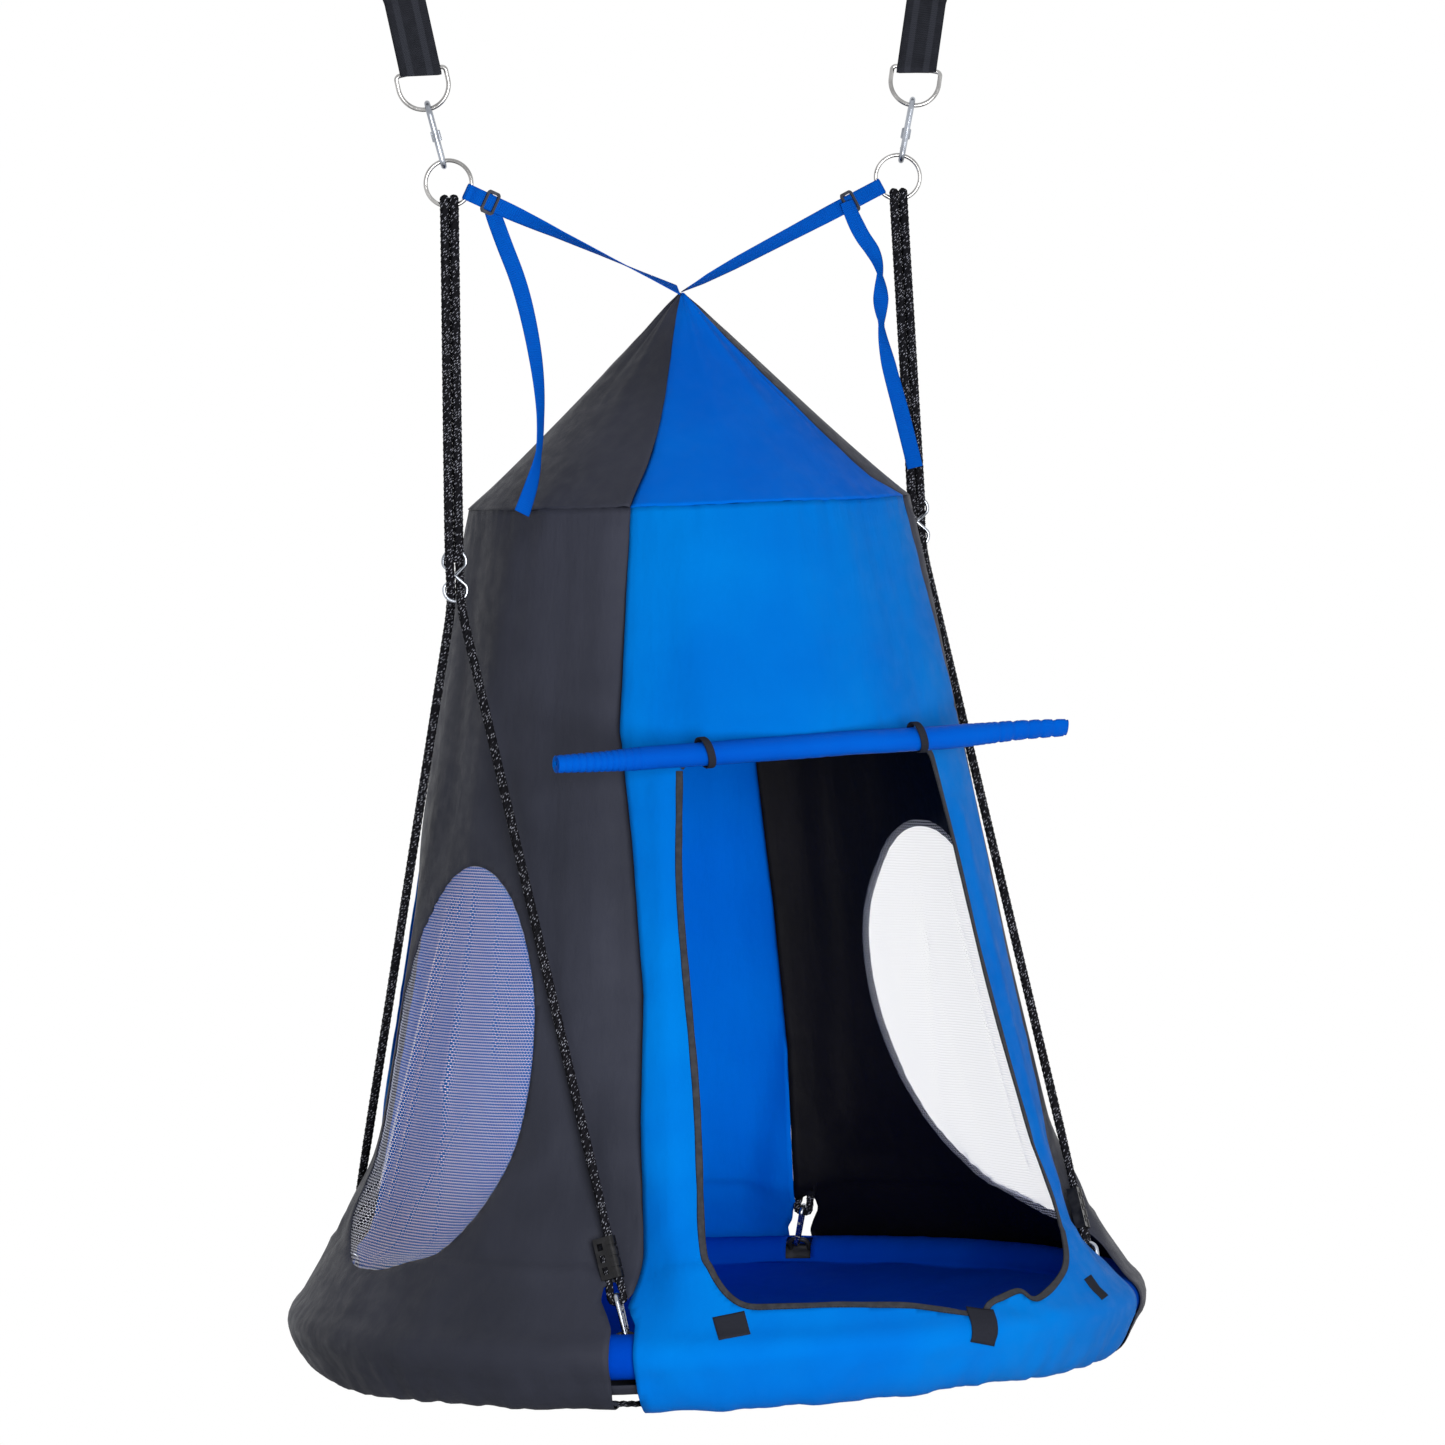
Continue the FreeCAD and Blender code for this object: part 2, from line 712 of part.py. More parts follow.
def make_tube(name, start):
    """A quarter of the steel ring, with the bent staple welded on at its middle."""
    where = SEAT_PLANE.multiply(Placement(Vector(), Rotation(UP, start)))
    span = "90 - sizes.joint_gap / sizes.ring_radius * 180 / pi"
    outer = bound("Torus", name + "_outside", where, Radius1="sizes.ring_radius",
                  Radius2="sizes.tube_diameter / 2", Angle3=span)
    inner = bound("Torus", name + "_inside", where, Radius1="sizes.ring_radius",
                  Radius2="sizes.tube_diameter / 2 - sizes.tube_wall", Angle3=span)
    middle = math.radians(start + 45)
    outward = Vector(math.cos(middle), math.sin(middle), 0)
    wide = (size("staple_width") - size("staple_wire")) / 2
    reach, root = size("staple_reach"), size("tube_diameter") / 2 - size("tube_wall") / 2
    points = [Vector(x, 0, z) for x, z in ((-wide, root), (-wide, reach), (wide, reach), (wide, root))]
    bent = doc.addObject("Part::Feature", name + "_staple")
    bent.Shape = swept(rounded_edges(points, [None, wide * 0.7, wide * 0.7, None]),
                       size("staple_wire") / 2, name)
    bent.Placement = frame_at(outward * size("ring_radius") - UP * DROP, UP.cross(outward), UP - outward)
    solid = doc.addObject("Part::Fuse", name + "_welded")
    solid.Base, solid.Tool = outer, bent
    tube = doc.addObject("Part::Cut", name)
    tube.Base, tube.Tool = solid, inner
    keep(tube, name)


def make_couplers(name):
    """Four push-in sleeves that join the quarters of the ring."""
    middle, wall = size("ring_radius"), size("tube_wall")
    outer = size("tube_diameter") / 2 - wall - 0.15
    span = math.degrees(size("joint_sleeve_length") / middle)
    sleeves = []
    for turn in (0, 90, 180, 270):
        sleeve = Part.makeTorus(middle, outer, Vector(), UP, 0, 360, span)
        sleeve = sleeve.cut(Part.makeTorus(middle, outer - 1.5, Vector(), UP, 0, 360, span))
        sleeve.Placement = SEAT_PLANE.multiply(Placement(Vector(), Rotation(UP, turn - span / 2)))
        sleeves.append(sleeve)
    add_shape(name, Part.makeCompound(sleeves))


def make_foam(name):
    """Foam sleeves on the ring, one between each pair of staples."""
    inner = size("tube_diameter") / 2 + size("soft_gap")
    outer = inner + size("foam_thickness")
    middle = size("ring_radius")
    gap = math.degrees((size("slot_width") + 2) / middle)
    sleeves = []
    for turn in (0, 90, 180, 270):
        sleeve = Part.makeTorus(middle, outer, Vector(), UP, 0, 360, 90 - gap)
        sleeve = sleeve.cut(Part.makeTorus(middle, inner, Vector(), UP, 0, 360, 90 - gap))
        sleeve.Placement = SEAT_PLANE.multiply(Placement(Vector(), Rotation(UP, turn + 45 + gap / 2)))
        sleeves.append(sleeve)
    add_shape(name, Part.makeCompound(sleeves))


def seat_rise(radius, edge):
    """Height of the slung seat above the tube's centre, at that radius."""
    return (size("seat_sag") - 5) * (radius / edge) ** 2 - size("seat_sag")


def revolved_body(name, outline, placement, angle=360, kind="Revolution", radii=None, body=None):
    """Turns an outline of (radius, height) points about the body's Z axis."""
    body = body or new_body(name, placement)
    sketch = new_sketch(body, f"{name}_{kind.lower()}{len(body.Group)}_outline", "XZ_Plane")
    if isinstance(outline, tuple):
        radius, height, girth = outline
        sketch.addGeometry(Part.Circle(Vector(radius, height, 0), UP, girth), False)
    else:
        draw(sketch, outline, radii)
    made = feature(body, kind, f"{name}_{kind.lower()}{len(body.Group)}", sketch, Angle=angle)
    made.ReferenceAxis = (sketch, ["V_Axis"])
    made.Midplane = angle != 360
    return body


def make_seat_cover(name):
    """The fabric cover round the padded ring, all of one piece with the slung seat."""
    ring = size("ring_radius")
    inner = size("tube_diameter") / 2 + 2 * size("soft_gap") + size("foam_thickness")
    outer = inner + size("cover_thickness")
    edge = ring - inner - 0.7
    radii = [edge * k / 6 for k in range(7)]
    top = [(r, seat_rise(r, edge)) for r in radii]
    under = [(r, z - size("seat_thickness")) for r, z in reversed(top)]
    body = revolved_body(name, top + under, SEAT_PLANE)
    revolved_body(name, (ring, 0, outer), None, body=body)
    doc.recompute()
    volume = body.Shape.Volume
    revolved_body(name, (ring, 0, inner), None, kind="Groove", body=body)
    volume = cut_less(body, volume, name + " core")
    half = size("slot_width") / 2
    slot = new_sketch(body, name + "_slot", "YZ_Plane",
                      Placement(Vector(0, 0, ring - 1), Rotation(Vector(0, 1, 0), 45)))
    slot.AttachmentOffset = turned_plane(45, ring - 1)
    draw(slot, [(-half, 0), (half, 0), (half, 60), (-half, 60)])
    cut = feature(body, "Pocket", name + "_opening", slot, Length=60.0)
    cut_less(body, volume, name + " slot")
    four = body.newObject("PartDesign::PolarPattern", name + "_openings")
    four.Originals = [cut]
    four.Axis = (plane_line(body, "Z_Axis"), [""])
    four.Angle = 360
    four.Occurrences = 4
    body.Tip = four


def plane_line(body, role):
    return next(f for f in body.Origin.OriginFeatures if f.Role == role)


def turned_plane(angle, out=0):
    """Offset that turns a sketch on the YZ plane about Z and moves it out along its normal."""
    turn = Placement(Vector(), Rotation(Vector(0, 1, 0), angle))
    return turn.multiply(Placement(Vector(0, 0, out), Rotation()))


def make_underside(name):
    """The dark fabric under the seat, which hangs a little below the ring."""
    ring = size("ring_radius")
    outer = size("tube_diameter") / 2 + 2 * size("soft_gap") + size("foam_thickness")
    outer += size("cover_thickness")
    edge = ring - outer
    drop = size("seat_thickness") + size("soft_gap")
    sag = [(edge * k / 5, seat_rise(edge * k / 5, edge) - drop) for k in range(5)]
    lip = [(-35, -27.0), (-14, -42.0), (-1, -44.5), (9, -39.0), (13, -31.0)]
    revolved_body(name, band(sag + [(ring + x, z) for x, z in lip], 1.4), SEAT_PLANE)


def band(points, thickness):
    """Closes a line of (radius, height) points into a strip, thickened to its right."""
    offset = []
    for i, (x, y) in enumerate(points):
        ahead = points[min(i + 1, len(points) - 1)]
        back = points[max(i - 1, 0)]
        if 0 < i < len(points) - 1:
            first = unit(Vector(x - back[0], y - back[1], 0))
            second = unit(Vector(ahead[0] - x, ahead[1] - y, 0))
            along = unit(first + second)
            grow = thickness / first.dot(along)
        else:
            along = unit(Vector(ahead[0] - back[0], ahead[1] - back[1], 0))
            grow = thickness
        offset.append((max(x + along.y * grow, 0.0), y - along.x * grow))
    return list(points) + offset[::-1]


# ---------------------------------------------------------------- tent


def wall_line():
    """The wall's outer face as (radius, height) points, from the hem up to the eave."""
    ring = size("ring_radius")
    girth = size("tube_diameter") / 2 + 2 * size("soft_gap") + size("foam_thickness")
    girth += size("cover_thickness") + size("soft_gap") + size("tent_cloth") + 1.0
    points = [(size("hem_radius"), size("hem_rise") - size("hem_tunnel"))]
    points += [(ring - 7, size("hem_rise") - size("hem_tunnel")), (ring + 10, -51.0)]
    for turn in (-40, -27, -13, 0, 14, 30, 47):
        angle = math.radians(turn)
        points.append((ring + girth * math.cos(angle), girth * math.sin(angle)))
    points += [(446.5, 88.0), (438.5, 110.0), (431.0, 135.0), (416.5, 200.0), (403.0, 265.0)]
    points += [(378.0, 390.0), (347.5, 550.0), (312.5, 745.0), (size("eave_radius"), size("eave_rise"))]
    return points


def shell(depth, thickness, low=None, high=None):
    """Outline of a layer of that thickness whose outer face lies depth inside the wall's."""
    outer = inward(wall_line(), depth)
    inner = inward(wall_line(), depth + thickness)
    if low is not None:
        keepers = [i for i, (_, z) in enumerate(wall_line()) if low <= z <= high]
        outer = [outer[i] for i in keepers]
        inner = [inner[i] for i in keepers]
    return outer + inner[::-1]


def inward(points, depth):
    """Moves the line of points to the left of its run, towards the inside of the tent."""
    moved = band(points, -depth)[len(points):]
    return moved[::-1]


SECTOR = 90 - 0.06  # of a panel, in degrees, which leaves a hairline at each seam
TRIM_SECTOR = 84
NOTCH = [(-16, -91), (-16, 45), (-1, 90), (35, 90), (17, 1), (17, -91)]


def notch_sides(facing):
    """For a panel's two edges: the turn of the corner and which way its side panel lies."""
    for turn in (-45, 45):
        corner = round((facing + turn) % 360)
        yield turn, -1 if corner in (225, 45) else 1


def facing_plane(facing):
    return SEAT_PLANE.multiply(Placement(Vector(), Rotation(UP, facing)))


def make_wall(name, facing, opening=None, radii=None):
    """A wall panel, notched at its corners for the ropes, with a hem tunnel along the bottom."""
    body = revolved_body(name, shell(0, size("tent_cloth")), facing_plane(facing), SECTOR)
    hem = size("hem_radius"), size("hem_rise")
    revolved_body(name, (*hem, size("hem_tunnel")), None, SECTOR, body=body)
    doc.recompute()
    volume = body.Shape.Volume
    revolved_body(name, (*hem, size("cord_diameter") / 2 + 0.5), None, SECTOR, "Groove", body=body)
    volume = cut_less(body, volume, name + " hem")
    if opening:
        sketch = new_sketch(body, name + "_opening", "YZ_Plane")
        opening(sketch, 0)
        feature(body, "Pocket", name + "_cut", sketch, Type=1, Reversed=True)
        volume = cut_less(body, volume, name + " opening")
    for turn, way in notch_sides(facing):
        sketch = new_sketch(body, f"{name}_notch{turn + 45}", "YZ_Plane", turned_plane(turn))
        draw(sketch, [(s * way, z) for s, z in NOTCH])
        feature(body, "Pocket", f"{name}_notched{turn + 45}", sketch, Type=1, Reversed=True)
        volume = cut_less(body, volume, name + " notch")


def window_outline(sketch, grow):
    """An upright oval, grown by that much."""
    centre = Vector(0, size("window_rise"), 0)
    tall, wide = size("window_height") / 2 + grow, size("window_width") / 2 + grow
    oval = Part.Ellipse(centre + Vector(0, tall, 0), centre + Vector(wide, 0, 0), centre)
    sketch.addGeometry(oval, False)


DOOR = [(-198, 702), (-223, 400), (-251, 140), (-251, 60), (-110, 49), (60, 27), (150, 33),
        (247, 62), (248, 140), (209, 300), (187, 410), (166, 550), (141, 702)]
DOOR_RADII = [8, 900, 500, 55, 200, 300, 200, 45, 60, 300, 300, 400, 8]


def door_outline(sketch, grow):
    """The door, its lower corners rounded, grown by that much."""
    draw(sketch, grown(DOOR, grow), [max(r + grow, 4) for r in DOOR_RADII])


def grown(points, by):
    """Moves every side of a closed outline, drawn left-handed, out by that much."""
    moved = []
    for i, (x, y) in enumerate(points):
        here = Vector(x, y, 0)
        back, ahead = points[i - 1], points[(i + 1) % len(points)]
        first = unit(here - Vector(back[0], back[1], 0))
        second = unit(Vector(ahead[0], ahead[1], 0) - here)
        along = unit(first + second)
        reach = by / first.dot(along)
        moved.append((x + along.y * reach, y - along.x * reach))
    return moved


def make_trim(name, facing, outline, grow, hole, depth, thickness, low, high):
    """A layer of cloth on the wall, cut to an outline and, if hole is given, with one inside."""
    outer = shell(depth, thickness, low, high)
    body = revolved_body(name, outer, facing_plane(facing), TRIM_SECTOR)
    doc.recompute()
    volume = body.Shape.Volume
    around = new_sketch(body, name + "_around", "YZ_Plane")
    draw(around, [(-400, low - 60), (400, low - 60), (400, high + 60), (-400, high + 60)])
    outline(around, grow)
    feature(body, "Pocket", name + "_trimmed", around, Type=1, Midplane=True)
    volume = cut_less(body, volume, name + " outline")
    if hole is not None:
        inside = new_sketch(body, name + "_inside", "YZ_Plane")
        outline(inside, hole)
        feature(body, "Pocket", name + "_opened", inside, Type=1, Midplane=True)
        cut_less(body, volume, name + " hole")


def make_roof(name, facings):
    """Two opposite roof panels, gathered to a point under the tip straps."""
    wide, rise = size("eave_radius"), size("eave_rise") + 0.4
    tip, top = size("apex_radius"), size("apex_rise")
    cloth = size("tent_cloth")
    slope = math.atan2(top - rise, wide - tip)
    inset = cloth / math.sin(slope)
    stub = top + size("tip_stub")
    outline = [(wide, rise), (tip, top), (tip, stub), (0.4, stub), (0.4, top - cloth), (wide - inset, rise)]
    panels = []
    for facing in facings:
        loop = [Vector(x, 0, z) for x, z in outline]
        face = Part.Face(Part.makePolygon(loop + loop[:1]))
        panel = face.revolve(Vector(), UP, SECTOR)
        panel.Placement = SEAT_PLANE.multiply(Placement(Vector(), Rotation(UP, facing - SECTOR / 2)))
        panels.append(panel)
    add_shape(name, Part.makeCompound(panels))


ROLL_ENDS = Vector(-378, -293.9, 691), Vector(288, -377.9, 701)


def make_roll(name):
    """The door, rolled up and tied under the top of its opening."""
    left, right = ROLL_ENDS[0] - UP * DROP, ROLL_ENDS[1] - UP * DROP
    thick, thin = size("roll_diameter") / 2, size("roll_end") / 2
    long = (right - left).Length
    body = new_body(name, frame_at(left, UP, right - left))
    sketch = new_sketch(body, name + "_profile", "XZ_Plane")
    draw(sketch, [(0, 9), (3.5, 9), (3.5, 0), (thick - 1.5, 0), (thick, 1.5),
                  (thick, long - size("roll_taper")), (thin + 1.5, long - 50), (thin, long), (0, long)])
    turn = feature(body, "Revolution", name + "_rolled", sketch, Angle=360)
    turn.ReferenceAxis = (sketch, ["V_Axis"])


def make_ties(name):
    """Two loops of dark tape round the rolled door."""
    left, right = ROLL_ENDS[0] - UP * DROP, ROLL_ENDS[1] - UP * DROP
    inner = size("roll_diameter") / 2 + 0.3
    outer, wide = inner + size("tie_thickness"), size("tie_width")
    ties = []
    for share in (0.278, 0.694):
        start = left + (right - left) * share
        loop = Part.makeCylinder(outer, wide).cut(Part.makeCylinder(inner, wide))
        loop.Placement = frame_at(start, UP, right - left)
        ties.append(loop)
    add_shape(name, Part.makeCompound(ties))


# azimuth, height above the tube, tilt in degrees, length and height of each patch
PATCHES = [(-120.4, 33, 11, 38, 24), (-58.1, 30, 8, 24, 30)]
TAB_MIDDLE, TAB_LOW, TAB_HIGH, TAB_LENGTH = -85.2, -6.9, 33.0, 36.0


def make_patches(name):
    """Hook-and-loop that holds the closed door: two patches on the wall, a tab on the sill."""
    patches = [sill_tab()]
    line = wall_line()
    for azimuth, rise, tilt, length, height in PATCHES:
        half = Vector(length / 2, height / 2, 0)
        patch = block(half * -1, half + UP * size("patch_thickness"))
        radius = radius_at(line, rise)
        lower, upper = radius_at(line, rise - height / 2), radius_at(line, rise + height / 2)
        lean = math.degrees(math.atan2(lower - upper, height))
        out = turned(azimuth)
        normal = out * math.cos(math.radians(lean)) + UP * math.sin(math.radians(lean))
        where = frame_at(out * (radius + 0.9) + UP * (rise - DROP), UP.cross(out), normal)
        patch.Placement = where.multiply(Placement(Vector(), Rotation(Vector(0, 0, 1), tilt)))
        patches.append(patch)
    add_shape(name, Part.makeCompound(patches))


def sill_tab():
    """A tab sewn over the tape of the sill, which hangs down over the wall."""
    line = wall_line()
    heights = [TAB_LOW] + [z for _, z in line if TAB_LOW + 1 < z < TAB_HIGH] + [TAB_HIGH]
    run = [(radius_at(line, z), z) for z in heights]
    thick = size("patch_thickness")
    depth = -2 * size("soft_gap") - size("binding_thickness") - thick
    loop = [Vector(x, 0, z) for x, z in inward(run, depth) + inward(run, depth + thick)[::-1]]
    face = Part.Face(Part.makePolygon(loop + loop[:1]))
    span = math.degrees(TAB_LENGTH / size("ring_radius"))
    tab = face.revolve(Vector(), UP, span)
    tab.Placement = SEAT_PLANE.multiply(Placement(Vector(), Rotation(UP, TAB_MIDDLE - span / 2)))
    return tab


def radius_at(line, rise):
    for (r0, z0), (r1, z1) in zip(line, line[1:]):
        if z0 <= rise <= z1 and z1 > z0:
            return r0 + (r1 - r0) * (rise - z0) / (z1 - z0)
    raise RuntimeError(f"no wall at {rise}")


# ---------------------------------------------------------------- tip straps


def tip_frame(side):
    """At the rope ring's wire: local Z towards the tent's tip, local X across the webbing."""
    centre = ring_centre(side)
    tip = Vector(side * 4.5, 0, size("apex_rise") + 3 - DROP)
    toward = square_to(tip - centre, TOWARD)
    wire = centre + toward * size("rope_ring_radius")
    across = toward.cross(TOWARD)
    return frame_at(wire, across * (1 if across.z > 0 else -1), tip - wire), (tip - wire).Length


def buckle_place(side):
    return size("buckle_left") if side < 0 else size("buckle_right")


# share of the single webbing, and how far it is twisted there, in degrees
TWISTS = {
    -1: [(0, 0), (0.15, 30), (0.33, 57), (0.7, 90), (1, 118)],
    1: [(0, 0), (0.15, -20), (0.33, -33), (0.68, -48), (0.87, -65), (1, -88)],
}


def make_tip_strap(name, side):
    """Blue webbing folded round the rope ring, double up to its buckle, then single to the tip."""
    where, long = tip_frame(side)
    wide, layer = size("tip_strap_width"), size("tip_strap_layer")
    ring = size("rope_ring_radius")
    bow = ring - math.sqrt(ring**2 - wide**2 / 4)  # of the ring's wire within the webbing
    bore = (size("rope_ring_wire") + bow) / 2 + 0.45
    double = buckle_place(side) + size("buckle_length") / 2 + 4
    half, back = Vector(wide / 2, 0, 0), Vector(0, 0, -bow / 2)
    fold = Part.makeCylinder(bore + layer, wide, back - half, half)
    sewn = Vector(wide / 2, layer + 0.1, double)
    strap = fold.fuse(block(Vector(-sewn.x, -sewn.y, 0), sewn))
    strap = strap.cut(Part.makeCylinder(bore, wide, back - half, half))
    corners = [Vector(x, y - layer / 2, 0) for x, y in rectangle(wide, layer)]
    section = Part.makePolygon(corners + corners[:1])
    sections = []
    for share, twist in TWISTS[side]:
        placed = section.copy()
        placed.Placement = Placement(UP * (double + (long - double) * share), Rotation(UP, twist))
        sections.append(placed)
    strap = strap.fuse(Part.makeLoft(sections, True, False))
    strap.Placement = where
    add_shape(name, strap)


TAILS = {
    -1: [(0, 4), (14, -42), (34, -98), (47, -163), (54, -228), (53, -290), (45, -335), (28, -378)],
    1: [(-2, 4), (11, -34), (33, -64), (38, -98), (34, -152), (43, -206), (58, -270), (71, -334)],
}


def make_tail(name, side):
    """The loose end of the webbing, hanging from its buckle."""
    where, _ = tip_frame(side)
    wide, layer = size("tip_strap_width"), size("tip_strap_layer")
    lean = math.radians(size("tail_lean"))
    flank, front = Vector(1, 0, 0), Vector(0, -1, 0)  # the webbing's own plane, and out of it
    down = -UP * math.cos(lean) + front * math.sin(lean)
    out = down.cross(flank)
    start = where.multVec(Vector(0, 0, buckle_place(side) + 6))
    drift = math.sin(lean) * front.dot(ACROSS)  # how far the lean alone carries it sideways
    points = [start + flank * ((x + y * drift) / flank.dot(ACROSS)) - down * y for x, y in TAILS[side]]
    edges = rounded_edges(points, [None] * len(points))
    along = unit(points[1] - points[0])
    flat = along.cross(out)
    corners = [points[0] + flat * (x * wide / 2) + out * (y * layer / 2)
               for x, y in ((-1, -1), (1, -1), (1, 1), (-1, 1))]
    section = Part.makePolygon(corners + corners[:1])
    arcs = [round(e.Curve.Radius, 1) for e in edges if isinstance(e.Curve, Part.Circle)]
    print(name, "length", round(sum(e.Length for e in edges)), "arc radii", arcs)
    tail = swept(edges, 0, name, section, wide * layer)
    side_name = "left" if side < 0 else "right"
    doc.recompute()
    beside = [shape_of(f"{piece}_{side_name}") for piece in ("tip_strap", "slide_buckle")]
    others = Part.makeCompound(beside)
    way = front * side  # the left tail lies behind its webbing, the right one in front
    tail.translate(way * 14)
    for _ in range(12):
        tail.translate(way * ((size("soft_gap") - tail.distToShape(others)[0]) * 0.8))
    while tail.common(others).Volume > 1e-4:
        tail.translate(way * 0.25)
    add_shape(name, tail)


def shape_of(name):
    return next(made.Shape for made in NODES if made.Label == name)


def make_buckle(name, side):
    """A slide buckle: its outer rails cross in front of the webbing, its middle bar behind."""
    where, _ = tip_frame(side)
    front = 1 if where.Rotation.multVec(Vector(0, 1, 0)).dot(TOWARD) > 0 else -1
    place = where.multiply(Placement(Vector(0, 0, buckle_place(side)), Rotation()))
    if front < 0:
        place = place.multiply(Placement(Vector(), Rotation(Vector(0, 0, 1), 180)))
    body = new_body(name, place)
    long, wide, rail = size("buckle_length") / 2, size("buckle_width") / 2, size("buckle_rail")
    clear, thick = size("tip_strap_layer") + 0.5, 2.2
    inside = size("tip_strap_width") / 2 + 0.6
    frame = new_sketch(body, name + "_frame", "XZ_Plane", Placement(Vector(0, 0, -clear), Rotation()))
    draw(frame, [(-wide, -long), (wide, -long), (wide, long), (-wide, long)], [5, 5, 5, 5])
    draw(frame, rectangle(2 * inside, 2 * (long - rail)), [1.5] * 4)
    feature(body, "Pad", name + "_rails", frame, Length=thick, Reversed=True)
    arms = new_sketch(body, name + "_arms", "XY_Plane")
    low, high = -clear - thick, clear + 0.5
    for near, far in ((inside, wide), (-wide, -inside)):
        draw(arms, [(near, low), (far, low), (far, high), (near, high)])
    feature(body, "Pad", name + "_cheeks", arms, Length=2 * rail, Midplane=True)
    bar = new_sketch(body, name + "_bar", "XY_Plane")
    draw(bar, [(-wide, -clear - thick), (wide, -clear - thick), (wide, -clear), (-wide, -clear)])
    feature(body, "Pad", name + "_middle", bar, Length=rail, Midplane=True)


# ---------------------------------------------------------------- build

for side_name, side in SIDES.items():
    make_strap(f"hanging_strap_{side_name}", side)
    make_dring(f"d_ring_{side_name}", side)
    frame = top_hook_frame(side)
    add_shape(f"top_hook_{side_name}", TOP_HOOK.body(f"top_hook_{side_name}"), frame)
    add_shape(f"top_gate_{side_name}", TOP_HOOK.gate(), frame)
    make_screw_sleeve(f"screw_sleeve_{side_name}", side)
    ring = bound("Torus", f"rope_ring_{side_name}", frame_at(ring_centre(side), ACROSS, TOWARD),
                 Radius1="sizes.rope_ring_radius", Radius2="sizes.rope_ring_wire / 2")
    keep(ring, f"rope_ring_{side_name}")
    make_link(f"figure_eight_link_{side_name}", side)
    make_rope(f"suspension_rope_{side_name}", side)

pins = []
for side in SIDES.values():
    pin = TOP_HOOK.hinge_pin()
    pin.Placement = top_hook_frame(side)
    pins.append(pin)
for corner_name, corner in CORNERS.items():
    frame = seat_hook_frame(corner)
    add_shape(f"seat_hook_{corner_name}", SEAT_HOOK.body(f"seat_hook_{corner_name}"), frame)
    add_shape(f"seat_gate_{corner_name}", SEAT_HOOK.gate(), frame)
    make_adjuster(f"rope_adjuster_{corner_name}", corner)
    pin = SEAT_HOOK.hinge_pin()
    pin.Placement = frame
    pins.append(pin)
add_shape("gate_pins", Part.makeCompound(pins))

for start, quarter in ((180, "front_left"), (270, "front_right"), (0, "back_right"), (90, "back_left")):
    make_tube(f"ring_tube_{quarter}", start)
make_couplers("ring_couplers")
make_foam("foam_sleeves")
make_seat_cover("seat_cover")
make_underside("seat_underside")
cord = bound("Torus", "hem_drawcord", raised(size("hem_rise")),
             Radius1="sizes.hem_radius", Radius2="sizes.cord_diameter / 2")
keep(cord, "hem_drawcord")

make_wall("wall_front", PANELS["front"], door_outline)
make_wall("wall_right", PANELS["right"], window_outline)
make_wall("wall_back", PANELS["back"])
make_wall("wall_left", PANELS["left"], window_outline)
make_roof("roof_blue", (PANELS["front"], PANELS["back"]))
make_roof("roof_grey", (PANELS["right"], PANELS["left"]))
hoop = bound("Torus", "eave_hoop", raised(size("eave_rise") - 6),
             Radius1="sizes.eave_radius - sizes.tent_cloth - sizes.hoop_rod / 2 + 0.6",
             Radius2="sizes.hoop_rod / 2")
keep(hoop, "eave_hoop")
cloth, gap = size("tent_cloth"), size("soft_gap")
for side_name in SIDES:
    make_trim(f"window_net_{side_name}", PANELS[side_name], window_outline, size("net_margin"), None,
              cloth + gap, size("net_thickness"), size("net_low"), size("net_high"))
half, thick = size("binding_width") / 2, size("binding_thickness")
make_trim("door_binding", PANELS["front"], door_outline, half, -half,
          -gap - thick, thick, size("door_low"), size("door_high"))
make_roll("door_roll")
make_ties("roll_ties")
make_patches("closure_patches")

for side_name, side in SIDES.items():
    make_tip_strap(f"tip_strap_{side_name}", side)
    make_buckle(f"slide_buckle_{side_name}", side)
    make_tail(f"strap_tail_{side_name}", side)

doc.recompute()
bad = [o.Name for o in doc.Objects if "Invalid" in o.State or "Error" in o.State]
for made in NODES:
    if made.Shape.isNull() or not made.Shape.isValid() or made.Shape.Volume <= 0:
        bad.append(made.Label)
if bad:
    raise RuntimeError(f"not sound: {bad}")

os.makedirs("parts", exist_ok=True)
for made in NODES:
    made.Shape.exportStep(f"parts/{made.Label}.step")
print(len(NODES), "sub-parts")
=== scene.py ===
import json
import math

import bmesh
import bpy
from mathutils import Matrix, Vector, noise

